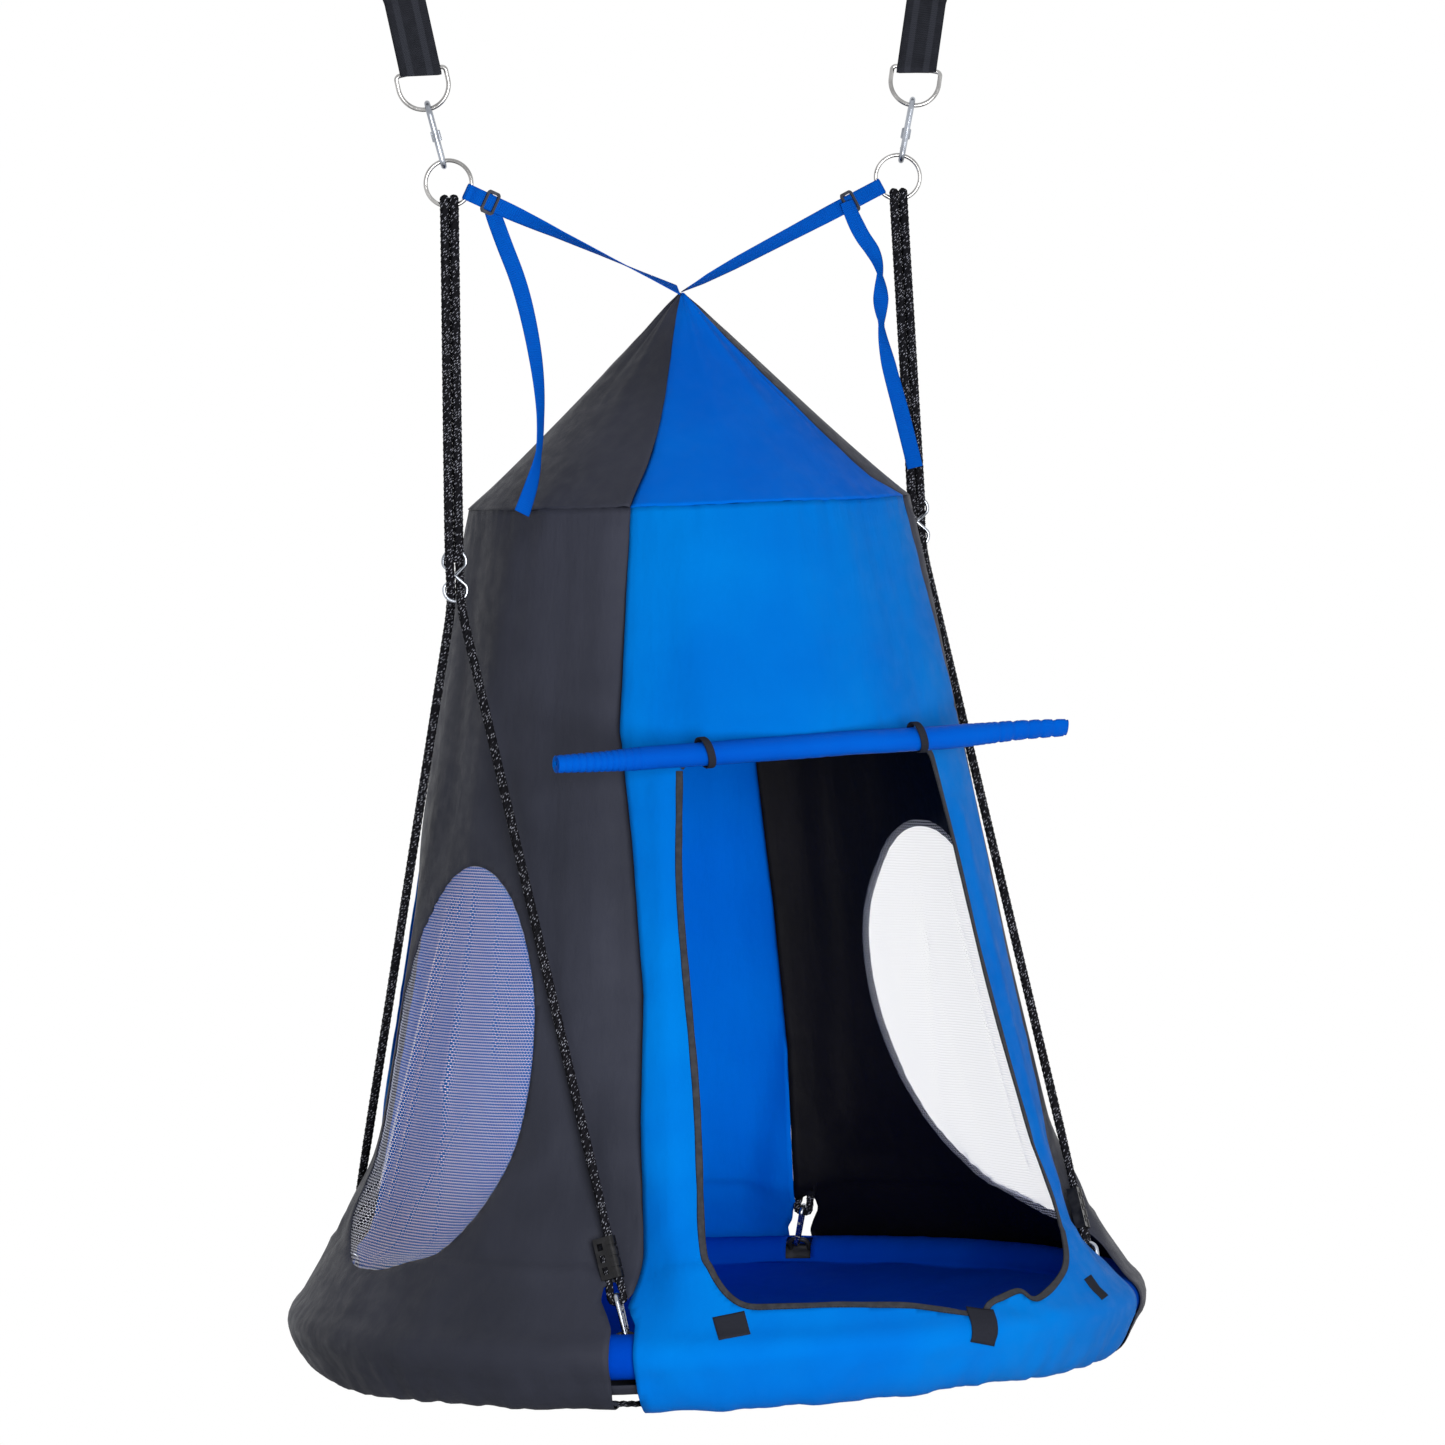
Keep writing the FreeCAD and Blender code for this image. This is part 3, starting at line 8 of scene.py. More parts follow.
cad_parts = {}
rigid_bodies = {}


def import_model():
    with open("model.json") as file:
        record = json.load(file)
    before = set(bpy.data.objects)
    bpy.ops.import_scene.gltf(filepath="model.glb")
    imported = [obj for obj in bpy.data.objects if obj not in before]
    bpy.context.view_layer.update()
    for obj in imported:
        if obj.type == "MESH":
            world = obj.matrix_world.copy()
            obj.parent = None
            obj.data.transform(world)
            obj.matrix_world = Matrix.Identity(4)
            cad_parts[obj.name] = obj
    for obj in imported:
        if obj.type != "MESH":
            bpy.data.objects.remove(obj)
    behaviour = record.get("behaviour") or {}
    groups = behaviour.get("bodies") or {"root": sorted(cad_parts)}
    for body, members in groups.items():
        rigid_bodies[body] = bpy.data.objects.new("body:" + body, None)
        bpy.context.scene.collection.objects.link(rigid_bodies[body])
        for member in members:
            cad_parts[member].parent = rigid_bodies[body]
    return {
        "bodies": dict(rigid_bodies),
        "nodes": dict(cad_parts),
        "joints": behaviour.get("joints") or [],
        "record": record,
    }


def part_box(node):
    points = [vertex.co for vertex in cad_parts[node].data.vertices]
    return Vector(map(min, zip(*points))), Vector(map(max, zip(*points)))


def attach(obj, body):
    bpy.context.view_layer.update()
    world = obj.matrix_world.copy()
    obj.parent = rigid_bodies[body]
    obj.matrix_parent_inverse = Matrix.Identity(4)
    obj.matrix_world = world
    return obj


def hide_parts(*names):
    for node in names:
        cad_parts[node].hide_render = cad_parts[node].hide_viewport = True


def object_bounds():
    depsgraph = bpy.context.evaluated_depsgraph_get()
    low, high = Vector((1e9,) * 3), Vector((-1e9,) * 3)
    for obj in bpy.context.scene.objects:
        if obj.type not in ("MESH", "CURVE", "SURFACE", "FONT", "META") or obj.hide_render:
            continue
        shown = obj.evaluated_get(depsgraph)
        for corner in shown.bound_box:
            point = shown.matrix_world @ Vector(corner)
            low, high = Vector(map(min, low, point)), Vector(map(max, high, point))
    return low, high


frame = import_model()
CAD_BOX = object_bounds()
scene = bpy.context.scene
scene.view_settings.view_transform = "Standard"

# Metres, in the row frame: the origin is the middle of the beam's centre line, X runs
# along the beam, the door faces -Y and Z points up.  Heights called rise are above the
# plane of the seat ring.

UP = Vector((0, 0, 1))
SIDES = {"left": -1, "right": 1}


def middle(node):
    low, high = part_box(node)
    return (low + high) / 2


PLANE = middle("ring_couplers").z
RING = 0.497  # centre line of the seat's steel ring
TUBE = 0.016  # its radius
COVER = 0.0263  # outside of the padded ring's fabric cover
WALL_GIRTH = 0.0307  # ring centre line to the outer face of the wall
EAVE_RISE, EAVE_RADIUS = 0.985, 0.269
APEX_RISE = 1.242
HEM_RADIUS, HEM_RISE, HEM_TUNNEL = 0.466, -0.059, 0.0075
YAW = math.radians(-32)  # how far the D-rings, hooks and rope rings are turned about Z


def level(angle):
    """The level unit vector at that azimuth, in radians."""
    return Vector((math.cos(angle), math.sin(angle), 0))


ACROSS, TOWARD = level(YAW), level(YAW - math.pi / 2)


def square_to(v, axis):
    """The unit vector nearest to v that is square to axis."""
    return (v - axis * v.dot(axis)).normalized()


def placement(origin, x_axis, z_axis):
    """A frame whose Z is z_axis and whose X is as near x_axis as can be."""
    z = z_axis.normalized()
    x = square_to(x_axis, z)
    y = z.cross(x)
    return Matrix.Translation(origin) @ Matrix((x, y, z)).transposed().to_4x4()


def ease(x, low=0.0, high=1.0):
    """0 below low, 1 above high and a smooth step between."""
    share = min(max((x - low) / (high - low), 0.0), 1.0)
    return share * share * (3 - 2 * share)


def between(x, table):
    """The value at x in a table of (x, value) pairs, on straight lines between them."""
    for (x0, y0), (x1, y1) in zip(table, table[1:]):
        if x <= x1:
            return y0 + (y1 - y0) * max(x - x0, 0) / (x1 - x0)
    return table[-1][1]


def bell(x, width):
    """1 at 0, falling smoothly to nothing on both sides."""
    return math.exp(-((x / width) ** 2))


def fade(x, width):
    """1 at 0, falling to about a third over each width."""
    return math.exp(-x / width)


# ---------------------------------------------------------------- camera, light, floor

EYE_AZIMUTH, EYE_AWAY, EYE_HEIGHT = math.radians(31.92), 9.0, -0.655
EYE_PITCH, EYE_TURN, EYE_ROLL = math.radians(-2.358), math.radians(0.202), math.radians(-2.0)
LENS, SENSOR = 183.15, 36.0  # millimetres
FLOOR_DROP = 0.42  # floor below the hem
FLOOR_RADIUS = 1.8
AIM_RISE = 0.5  # the lamps look at this height of the tent
WORLD_FILL = 0.29
# azimuth in degrees, distance, height, width, tallness and power
LAMPS = {
    "front_soft_box": (-108, 4.2, -1.2, 2.0, 2.0, 166),
    "left_soft_box": (-168, 4.5, -1.1, 1.6, 2.4, 5),
    "right_soft_box": (-50, 4.8, -1.1, 1.6, 2.4, 10),
    "top_soft_box": (-100, 1.2, 2.6, 2.4, 2.4, 3),
}


def make_camera():
    camera = bpy.data.objects.new("camera", bpy.data.cameras.new("camera"))
    scene.collection.objects.link(camera)
    camera.data.lens, camera.data.sensor_width = LENS, SENSOR
    camera.data.clip_end = 100
    heading = EYE_AZIMUTH + EYE_TURN
    forward = Vector((math.sin(heading), math.cos(heading), 0))
    ahead = forward * math.cos(EYE_PITCH) + UP * math.sin(EYE_PITCH)
    right = Vector((math.cos(heading), -math.sin(heading), 0))
    top = right.cross(ahead)
    cosine, sine = math.cos(EYE_ROLL), math.sin(EYE_ROLL)
    axes = Matrix((right * cosine + top * sine, top * cosine - right * sine, -ahead)).transposed()
    eye = Vector((-math.sin(EYE_AZIMUTH) * EYE_AWAY, -math.cos(EYE_AZIMUTH) * EYE_AWAY, EYE_HEIGHT))
    camera.matrix_world = Matrix.Translation(eye) @ axes.to_4x4()
    scene.camera = camera


def add_lamp(name, azimuth, away, rise, wide, tall, power):
    """A soft box that looks at the middle of the tent."""
    lamp = bpy.data.objects.new(name, bpy.data.lights.new(name, "AREA"))
    scene.collection.objects.link(lamp)
    lamp.data.shape, lamp.data.size, lamp.data.size_y = "RECTANGLE", wide, tall
    lamp.data.energy = power
    place = level(math.radians(azimuth)) * away + UP * rise
    aim = UP * (PLANE + AIM_RISE) - place
    lamp.matrix_world = placement(place, UP.cross(aim), -aim)


make_camera()
for lamp_name, lamp_values in LAMPS.items():
    add_lamp(lamp_name, *lamp_values)


# ---------------------------------------------------------------- materials


class Value:
    """A shader socket that takes part in arithmetic."""

    def __init__(self, finish, socket):
        self.finish, self.socket = finish, socket

    def maths(self, operation, *terms):
        return self.finish.node("Math", dict(enumerate(terms)), operation=operation)

    def __add__(self, other):
        return self.maths("ADD", self, other)

    def __mul__(self, other):
        return self.maths("MULTIPLY", self, other)

    def __sub__(self, other):
        return self.maths("SUBTRACT", self, other)

    def __rsub__(self, other):
        return self.maths("SUBTRACT", other, self)

    def __truediv__(self, other):
        return self.maths("DIVIDE", self, other)

    __radd__, __rmul__ = __add__, __mul__

    def floor(self):
        return self.maths("FLOOR", self)

    def part(self):
        return self.maths("FRACT", self)

    def size(self):
        return self.maths("ABSOLUTE", self)

    def over(self, limit):
        return self.maths("GREATER_THAN", self, limit)

    def off_middle(self):
        """How far the value's fraction is from a half."""
        return (self.part() - 0.5).size()

    def wave(self):
        """The sine of the value in whole turns."""
        return self.maths("SINE", self * math.tau)

    def ramp(self, low, high, to_low=0.0, to_high=1.0):
        values = {0: self, 1: low, 2: high, 3: to_low, 4: to_high}
        return self.finish.node("MapRange", values, interpolation_type="SMOOTHSTEP")


def srgb(red, green, blue):
    """A linear colour from one written in 0 to 255."""
    share = [c / 255 for c in (red, green, blue)]
    return (*[c / 12.92 if c <= 0.04045 else ((c + 0.055) / 1.055) ** 2.4 for c in share], 1.0)


def toned(colour, times, plus=0.0):
    """The colour made darker or paler."""
    return (*[c * times + plus for c in colour[:3]], 1.0)


class Finish:
    """A material being made: one method adds any node."""

    def __init__(self, name, **fixed):
        self.material = bpy.data.materials.new(name)
        self.material.use_nodes = True
        tree = self.material.node_tree
        self.nodes, self.links = tree.nodes, tree.links
        self.shader = self.nodes["Principled BSDF"]
        self.bumps = None
        for key, value in fixed.items():
            self.shader.inputs[key.replace("_", " ")].default_value = value

    def put(self, socket, value):
        if isinstance(value, Value):
            self.links.new(value.socket, socket)
        else:
            socket.default_value = value

    def node(self, kind, values=None, out=0, **settings):
        made = self.nodes.new("ShaderNode" + kind)
        for key, setting in settings.items():
            setattr(made, key, setting)
        for key, value in (values or {}).items():
            self.put(made.inputs[key], value)
        return Value(self, made.outputs[out])

    def feed(self, name, value):
        self.put(self.shader.inputs[name], value)

    def mix(self, share, first, second):
        return self.node("Mix", {0: share, 6: first, 7: second}, out=2, data_type="RGBA")

    def place(self):
        return self.node("TexCoord", out=3)

    def map(self):
        """The piece's own map, as (across, along)."""
        split = self.node("SeparateXYZ", {0: self.node("TexCoord", out=2)})
        return split, Value(self, split.socket.node.outputs[1])

    def joined(self, x, y, z=0.0):
        return self.node("CombineXYZ", {0: x, 1: y, 2: z})

    def noise(self, where, scale, detail=2.0, rough=0.5):
        return self.node("TexNoise", {"Vector": where, "Scale": scale, "Detail": detail, "Roughness": rough})

    def bump(self, height, depth, strength=1.0):
        """Adds relief of that depth in metres on top of what is there."""
        values = {"Height": height, "Distance": depth, "Strength": strength}
        if self.bumps is not None:
            values["Normal"] = self.bumps
        self.bumps = self.node("Bump", values)
        self.feed("Normal", self.bumps)


def cloth_finish(name, colour, dark, rough=0.62, shine=0.12, tint=(1, 1, 1, 1)):
    """Plain-woven coated polyester: fine weave, soft crinkles and slight colour changes."""
    f = Finish(name, Specular_IOR_Level=shine, Specular_Tint=tint)
    across, along = f.map()
    yarn = 0.0011
    weave = (across / yarn).wave() * (along / yarn).wave()
    broad = f.noise(f.place(), 4.0, 3.0)
    fine = f.noise(f.place(), 55.0, 4.0)
    f.feed("Base Color", f.mix(broad.ramp(0.3, 0.72), dark, colour))
    f.feed("Roughness", fine.ramp(0.25, 0.75, rough - 0.08, rough + 0.08))
    f.bump(f.noise(f.joined(across * 60, along * 22), 1.0, 3.0), 0.0009)
    f.bump(fine, 0.0005)
    f.bump(weave, 0.00008)
    return f.material


def webbing_finish(name, colour, dark, band=0.0, rib=0.0014):
    """Flat webbing: cross ribs, a chevron in the weave and, if asked, two paler bands."""
    f = Finish(name, Specular_IOR_Level=0.05)
    across, along = f.map()
    side = across.size()
    chevron = ((along + side * 0.6) / rib).wave()
    worn = f.noise(f.place(), 90.0, 3.0)
    shade = chevron.ramp(-1.0, 1.0, 0.15, 0.85) * worn.ramp(0.2, 0.8, 0.6, 1.2)
    if band:
        stripe = (side - band).size().ramp(0.0028, 0.0044, 1.0, 0.0)
        shade = shade + stripe * 0.9
    f.feed("Base Color", f.mix(shade, dark, colour))
    f.feed("Roughness", worn.ramp(0.2, 0.8, 0.6, 0.85))
    f.bump(chevron, 0.0003)
    f.bump((along / 0.0028).wave(), 0.00015)
    return f.material


def rope_finish():
    """One strand of the rope: black yarns with pale tracer yarns that show as flecks."""
    f = Finish("rope_yarn", Specular_IOR_Level=0.05)
    around, along = f.map()  # around is a share of the strand's girth
    yarns, lead, fleck_length = 7, 0.021, 0.0044
    lay = around * yarns + along / lead
    yarn = lay.floor()
    run = along / fleck_length + yarn * 0.37
    cell = f.node("TexWhiteNoise", {"Vector": f.joined(yarn, run.floor())}, noise_dimensions="2D")
    dash = run.off_middle().ramp(0.18, 0.28, 1.0, 0.0) * lay.off_middle().ramp(0.10, 0.20, 1.0, 0.0)
    fleck = cell.over(0.42) * dash
    worn = f.noise(f.place(), 300.0)
    black = f.mix(worn, srgb(6, 6, 8), srgb(30, 30, 35))
    f.feed("Base Color", f.mix(fleck * worn.ramp(0.3, 0.6, 0.45, 1.0), black, srgb(170, 172, 184)))
    f.feed("Roughness", worn.ramp(0.3, 0.7, 0.6, 0.85))
    f.bump(lay.off_middle() * -1, 0.0007)
    return f.material


def net_finish():
    """Open knitted net: rows of small six-sided holes between pale threads."""
    # The faint pale emission is painted light: it makes the threads glow paler than the lamps light them.
    f = Finish("window_net", Roughness=0.6, Specular_IOR_Level=0.2, Emission_Strength=0.16)
    f.shader.inputs["Emission Color"].default_value = srgb(232, 238, 255)
    across, along = f.map()
    wide, tall = 0.0040, 0.0034  # from hole to hole
    row = (along / tall).floor()
    aside = (across / wide + row * 0.5).off_middle()
    above = (along / tall).off_middle()
    slanted, level_edge = aside * 1.15 + above * 0.62, above * 1.12
    thread = slanted.maths("MAXIMUM", slanted, level_edge).over(0.615)
    f.feed("Base Color", f.mix(f.noise(f.place(), 9.0), srgb(240, 241, 252), srgb(252, 252, 255)))
    f.feed("Alpha", thread)
    return f.material


def metal_finish(name, colour, rough, mark=0.04):
    """Plated steel with faint drawing marks and rubbed places."""
    f = Finish(name, Metallic=1.0)
    rub = f.noise(f.place(), 260.0, 3.0)
    broad = f.noise(f.place(), 45.0)
    f.feed("Base Color", f.mix(broad.ramp(0.3, 0.7), colour, toned(colour, 0.62)))
    f.feed("Roughness", rub.ramp(0.25, 0.75, rough - mark, rough + mark * 2))
    f.bump(rub, 0.00006)
    return f.material


def plastic_finish(name, colour, rough=0.42):
    """Moulded plastic with a fine spark-eroded grain and patches rubbed paler."""
    f = Finish(name, Specular_IOR_Level=0.22)
    grain = f.noise(f.place(), 900.0)
    rub = f.noise(f.place(), 70.0, 3.0)
    pale = toned(colour, 1.9, 0.006)
    f.feed("Base Color", f.mix(rub.ramp(0.45, 0.8), colour, pale))
    f.feed("Roughness", rub.ramp(0.3, 0.7, rough - 0.06, rough + 0.1))
    f.bump(grain, 0.00006)
    return f.material


def tape_finish(name, colour, dark):
    """Narrow folded tape, ribbed across, with a row of stitches near each edge."""
    f = Finish(name, Specular_IOR_Level=0.1)
    across, along = f.map()
    stitch_row, stitch_length = 0.0042, 0.0042
    ribs = (along / 0.0012).wave()
    worn = f.noise(f.place(), 120.0, 3.0)
    row = (across.size() - stitch_row).size().ramp(0.0004, 0.0008, 1.0, 0.0)
    stitch = row * (along / stitch_length).off_middle().ramp(0.3, 0.4, 1.0, 0.0)
    f.feed("Base Color", f.mix(stitch * 0.6, f.mix(worn.ramp(0.3, 0.75), dark, colour), toned(dark, 0.35)))
    f.feed("Roughness", worn.ramp(0.2, 0.8, 0.55, 0.8))
    f.bump(ribs, 0.0001)
    f.bump(row * -1, 0.0004)
    return f.material


def hook_tape_finish():
    """Hook-and-loop tape: a dense dark pile in fine rows."""
    f = Finish("hook_tape", Roughness=0.9, Specular_IOR_Level=0.05)
    pile = f.noise(f.place(), 1400.0, 2.0)
    f.feed("Base Color", f.mix(pile, srgb(16, 17, 22), srgb(52, 54, 64)))
    f.bump(pile, 0.0006)
    return f.material


def foam_finish():
    f = Finish("grey_foam", Roughness=0.85, Specular_IOR_Level=0.2)
    cells = f.node("TexVoronoi", {"Vector": f.place(), "Scale": 700.0})
    f.feed("Base Color", f.mix(cells, srgb(120, 122, 128), srgb(160, 162, 168)))
    f.bump(cells, 0.0004)
    return f.material


BLUE, BLUE_DARK = srgb(0, 117, 208), srgb(0, 101, 196)
BLUE_TINT = (0.04, 0.72, 0.85, 1.0)
FINISH = {
    "blue_cloth": cloth_finish("blue_cloth", BLUE, BLUE_DARK, tint=BLUE_TINT),
    "blue_inside": cloth_finish(
        "blue_cloth_inside", srgb(0, 112, 226), srgb(0, 102, 218), 0.7, 0.08, BLUE_TINT),
    # The roof's blue is the walls' own cloth made darker and bluer: painted shade on the roof.
    "roof_cloth_painted_shade": cloth_finish("roof_cloth_painted_shade", srgb(0, 107, 217), srgb(0, 95, 207), tint=BLUE_TINT),
    # The rolled door's blue is its own cloth made darker: painted shade on the roll.
    "roll_cloth_painted_shade": cloth_finish("roll_cloth_painted_shade", srgb(0, 86, 194), srgb(0, 74, 182), 0.5, 0.14, BLUE_TINT),
    "seat_cloth": cloth_finish("seat_cloth", srgb(0, 70, 184), srgb(0, 58, 172), 0.75, 0.04, BLUE_TINT),
    "grey_cloth": cloth_finish("grey_cloth", srgb(56, 58, 70), srgb(42, 44, 54), 0.5, 0.1),
    "grey_inside": cloth_finish("grey_cloth_inside", srgb(15, 14, 20), srgb(9, 9, 13), 0.45, 0.12),
    "black_webbing": webbing_finish("black_webbing", srgb(58, 60, 68), srgb(28, 29, 34), band=0.0115),
    "blue_webbing": webbing_finish("blue_webbing", srgb(0, 104, 218), srgb(0, 86, 202)),
    "rope": rope_finish(),
    "net": net_finish(),
    "tape": tape_finish("binding_tape", srgb(62, 63, 68), srgb(46, 47, 52)),
    "hook_tape": hook_tape_finish(),
    "nickel": metal_finish("nickel_plate", srgb(178, 177, 176), 0.14),
    "zinc": metal_finish("zinc_plate", srgb(168, 173, 182), 0.22, 0.06),
    "tube_paint": plastic_finish("tube_paint", srgb(38, 38, 42), 0.35),
    "black_plastic": plastic_finish("black_plastic", srgb(13, 13, 16), 0.3),
    "buckle_plastic": plastic_finish("buckle_plastic", srgb(50, 52, 60), 0.42),
    "rod": plastic_finish("glass_fibre", srgb(30, 30, 33), 0.3),
    "foam": foam_finish(),
}


def light_world():
    """White to the eye and to mirrors, and a plain soft fill for everything else."""
    world = scene.world or bpy.data.worlds.new("world")
    scene.world = world
    world.use_nodes = True
    nodes, links = world.node_tree.nodes, world.node_tree.links
    nodes.clear()
    path, add = nodes.new("ShaderNodeLightPath"), nodes.new("ShaderNodeMath")
    both, mix = nodes.new("ShaderNodeMath"), nodes.new("ShaderNodeMixShader")
    fill, white = nodes.new("ShaderNodeBackground"), nodes.new("ShaderNodeBackground")
    out = nodes.new("ShaderNodeOutputWorld")
    add.operation = both.operation = "MAXIMUM"
    fill.inputs["Strength"].default_value = WORLD_FILL
    fill.inputs["Color"].default_value = white.inputs["Color"].default_value = (1, 1, 1, 1)
    links.new(path.outputs["Is Camera Ray"], add.inputs[0])
    links.new(path.outputs["Is Glossy Ray"], add.inputs[1])
    links.new(add.outputs[0], both.inputs[0])
    links.new(path.outputs["Is Transmission Ray"], both.inputs[1])
    links.new(both.outputs[0], mix.inputs[0])
    links.new(fill.outputs[0], mix.inputs[1])
    links.new(white.outputs[0], mix.inputs[2])
    links.new(mix.outputs[0], out.inputs[0])


def make_floor():
    mesh = bmesh.new()
    bmesh.ops.create_circle(mesh, cap_ends=True, segments=96, radius=FLOOR_RADIUS)
    bmesh.ops.translate(mesh, vec=(0, 0, CAD_BOX[0].z - FLOOR_DROP), verts=mesh.verts)
    floor = new_piece("floor", mesh)
    f = Finish("pale_floor", Roughness=0.8, Specular_IOR_Level=0.2)
    f.feed("Base Color", f.mix(f.noise(f.place(), 3.0), srgb(240, 240, 240), srgb(246, 246, 246)))
    floor.data.materials.append(f.material)


# ---------------------------------------------------------------- making pieces


def new_piece(name, mesh, *finishes):
    """An object at the origin from a bmesh, which is freed."""
    for face in mesh.faces:
        face.smooth = True
    data = bpy.data.meshes.new(name)
    mesh.to_mesh(data)
    mesh.free()
    piece = bpy.data.objects.new(name, data)
    scene.collection.objects.link(piece)
    for key in finishes:
        data.materials.append(FINISH[key])
    return piece


def settle(piece, body, node):
    """The piece rides on the body and stands for the CAD node, which is hidden."""
    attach(piece, body)
    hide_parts(node)


def thicken(piece, thickness, offset=-1.0):
    """Gives a sheet its thickness, inwards; a second finish goes on the inner face."""
    shell = piece.modifiers.new("cloth", "SOLIDIFY")
    shell.thickness, shell.offset = thickness, offset
    shell.material_offset = len(piece.data.materials) - 1


def turn_out(mesh, outward):
    """Turns all faces one way; outward says how far a face points the right way."""
    bmesh.ops.recalc_face_normals(mesh, faces=mesh.faces)
    if sum(outward(face) for face in mesh.faces) < 0:
        bmesh.ops.reverse_faces(mesh, faces=mesh.faces)


def lay_map(faces, uv, spot):
    """Writes the map of the faces; spot gives a vertex's (across, along)."""
    for face in faces:
        for loop in face.loops:
            loop[uv].uv = spot(loop.vert)


def run_marks(points):
    """How far along the line each point is."""
    marks = [0.0]
    for a, b in zip(points, points[1:]):
        marks.append(marks[-1] + (b - a).length)
    return marks


def read_line(name, points):
    """Reads a smooth line back from a spline with those control points."""
    curve = bpy.data.curves.new(name, "CURVE")
    curve.dimensions, curve.resolution_u = "3D", 24
    spline = curve.splines.new("NURBS")
    spline.points.add(len(points) - 1)
    for place, point in zip(spline.points, points):
        place.co = (*point, 1)
    spline.order_u = 3
    spline.use_endpoint_u = True
    holder = bpy.data.objects.new(name, curve)
    scene.collection.objects.link(holder)
    mesh = bpy.data.meshes.new_from_object(holder)
    line = [v.co.copy() for v in mesh.vertices]
    bpy.data.objects.remove(holder)
    bpy.data.curves.remove(curve)
    bpy.data.meshes.remove(mesh)
    return line


def spaced(line, step, closed=False):
    """Points at an even spacing near step along the line."""
    if closed:
        line = [*line, line[0]]
    marks = run_marks(line)
    count = max(round(marks[-1] / step), 2)
    points, i = [], 0
    for k in range(count if closed else count + 1):
        reach = marks[-1] * k / count
        while i < len(line) - 2 and marks[i + 1] < reach:
            i += 1
        points.append(line[i].lerp(line[i + 1], (reach - marks[i]) / (marks[i + 1] - marks[i])))
    return points


def tangents(points, closed=False):
    count = len(points)
    if closed:
        return [(points[(i + 1) % count] - points[i - 1]).normalized() for i in range(count)]
    return [(points[min(i + 1, count - 1)] - points[max(i - 1, 0)]).normalized() for i in range(count)]


def carried_frames(points, start):
    """Frames along the points that turn as little as can be."""
    frames, side = [], start
    for point, along in zip(points, tangents(points)):
        side = square_to(side, along)
        frames.append(placement(point, side, along))
    return frames


def add_grid(mesh, columns, rows):
    """Adds a grid; gives the (column, row) of each new vertex, the new faces and the map."""
    uv = mesh.loops.layers.uv.verify()
    made = bmesh.ops.create_grid(mesh, x_segments=columns, y_segments=rows, size=0.5)["verts"]
    cells = {v: (round((v.co.x + 0.5) * columns), round((v.co.y + 0.5) * rows)) for v in made}
    return cells, list({face: None for v in made for face in v.link_faces}), uv


def sweep(mesh, section, frames, closed=False, marks=None):
    """Wraps a grid round a closed section carried through the frames.

    The map runs in metres along and, across, by marks or else by shares of the girth."""
    flat = [Vector((x, y, 0)) for x, y in section]
    flat.append(flat[0])
    frames = [*frames, frames[0]] if closed else frames
    girth, run = run_marks(flat), run_marks([frame.translation for frame in frames])
    spread = [g / girth[-1] for g in girth] if marks is None else [*marks, marks[0]]
    cells, faces, uv = add_grid(mesh, len(section), len(frames) - 1)
    for vert, (column, row) in cells.items():
        vert.co = frames[row] @ flat[column]
    lay_map(faces, uv, lambda v: (spread[cells[v][0]], run[cells[v][1]]))
    last = len(frames) - 1
    ends = {v for v, (_, row) in cells.items() if row in (0, last)}
    rim = [e for v in ends for e in v.link_edges if ends.issuperset(e.verts)]
    seam = [v for v, (column, _) in cells.items() if column in (0, len(section)) or v in ends]
    bmesh.ops.remove_doubles(mesh, verts=seam, dist=1e-6)
    if not closed:
        rim = list({e: None for e in rim if e.is_valid and e.is_boundary})
        bmesh.ops.holes_fill(mesh, edges=rim, sides=0)


def swept_piece(name, section, frames, finish, closed=False, marks=None):
    mesh = bmesh.new()
    sweep(mesh, section, frames, closed, marks)
    bmesh.ops.recalc_face_normals(mesh, faces=mesh.faces)
    return new_piece(name, mesh, finish)


def round_section(radius, count=10):
    turns = [math.tau * i / count for i in range(count)]
    return [(radius * math.cos(t), radius * math.sin(t)) for t in turns]


def ribbon_section(width, thickness, across=8, selvage=0.35):
    """A webbing's section with rounded selvages; also how far across each point lies."""
    half, thick = width / 2, thickness / 2
    xs = [half * (2 * i / across - 1) for i in range(across + 1)]
    top = [(x * 0.985, thick * (1 if abs(x) < half * 0.99 else selvage)) for x in xs]
    low = [(x, -y) for x, y in reversed(top)]
    return top + low, [x for x, _ in top + low]


# ---------------------------------------------------------------- ropes and webbing tails

ROPE = 0.010  # diameter
RING_WIRE, RING_RADIUS = 0.005, 0.0275
LINK_LENGTH, LINK_WIRE = 0.066, 0.0045
STAPLE_WIRE, STAPLE_REACH = 0.006, 0.034
SEAT_HOOK_LENGTH, SEAT_HOOK_WIRE = 0.060, 0.006
ADJUSTER_LENGTH, BORES_APART = 0.050, 0.0117
ADJUSTER_GAP = ROPE * 1.9  # from the head of the hook up to the adjuster
# the legs of a rope at its link: aside, and off the wire below it and above
LEG_ASIDE, LEG_BELOW, LEG_ABOVE = 0.56 * ROPE, 1.12 * ROPE, 1.22 * ROPE
LEGS_CLOSE = 0.048  # height over the link's middle where its two legs come together
TOUCH = 0.0004
ROPE_STEP = 0.003
STRANDS, STRAND_LEAD = 4, 0.031
STRAND_SHARE = 0.68  # a strand's width in the rope's


def ring_centre(side):
    return middle(f"rope_ring_{side}")


def link_centre(side):
    return middle(f"figure_eight_link_{side}")


def rope_pass(side, way):
    """Where a rope comes up to its figure-eight link, in front (1) or behind (-1)."""
    offset = ACROSS * LEG_ASIDE + TOWARD * LEG_BELOW
    return link_centre(side) + offset * way - UP * (0.52 * LINK_LENGTH)


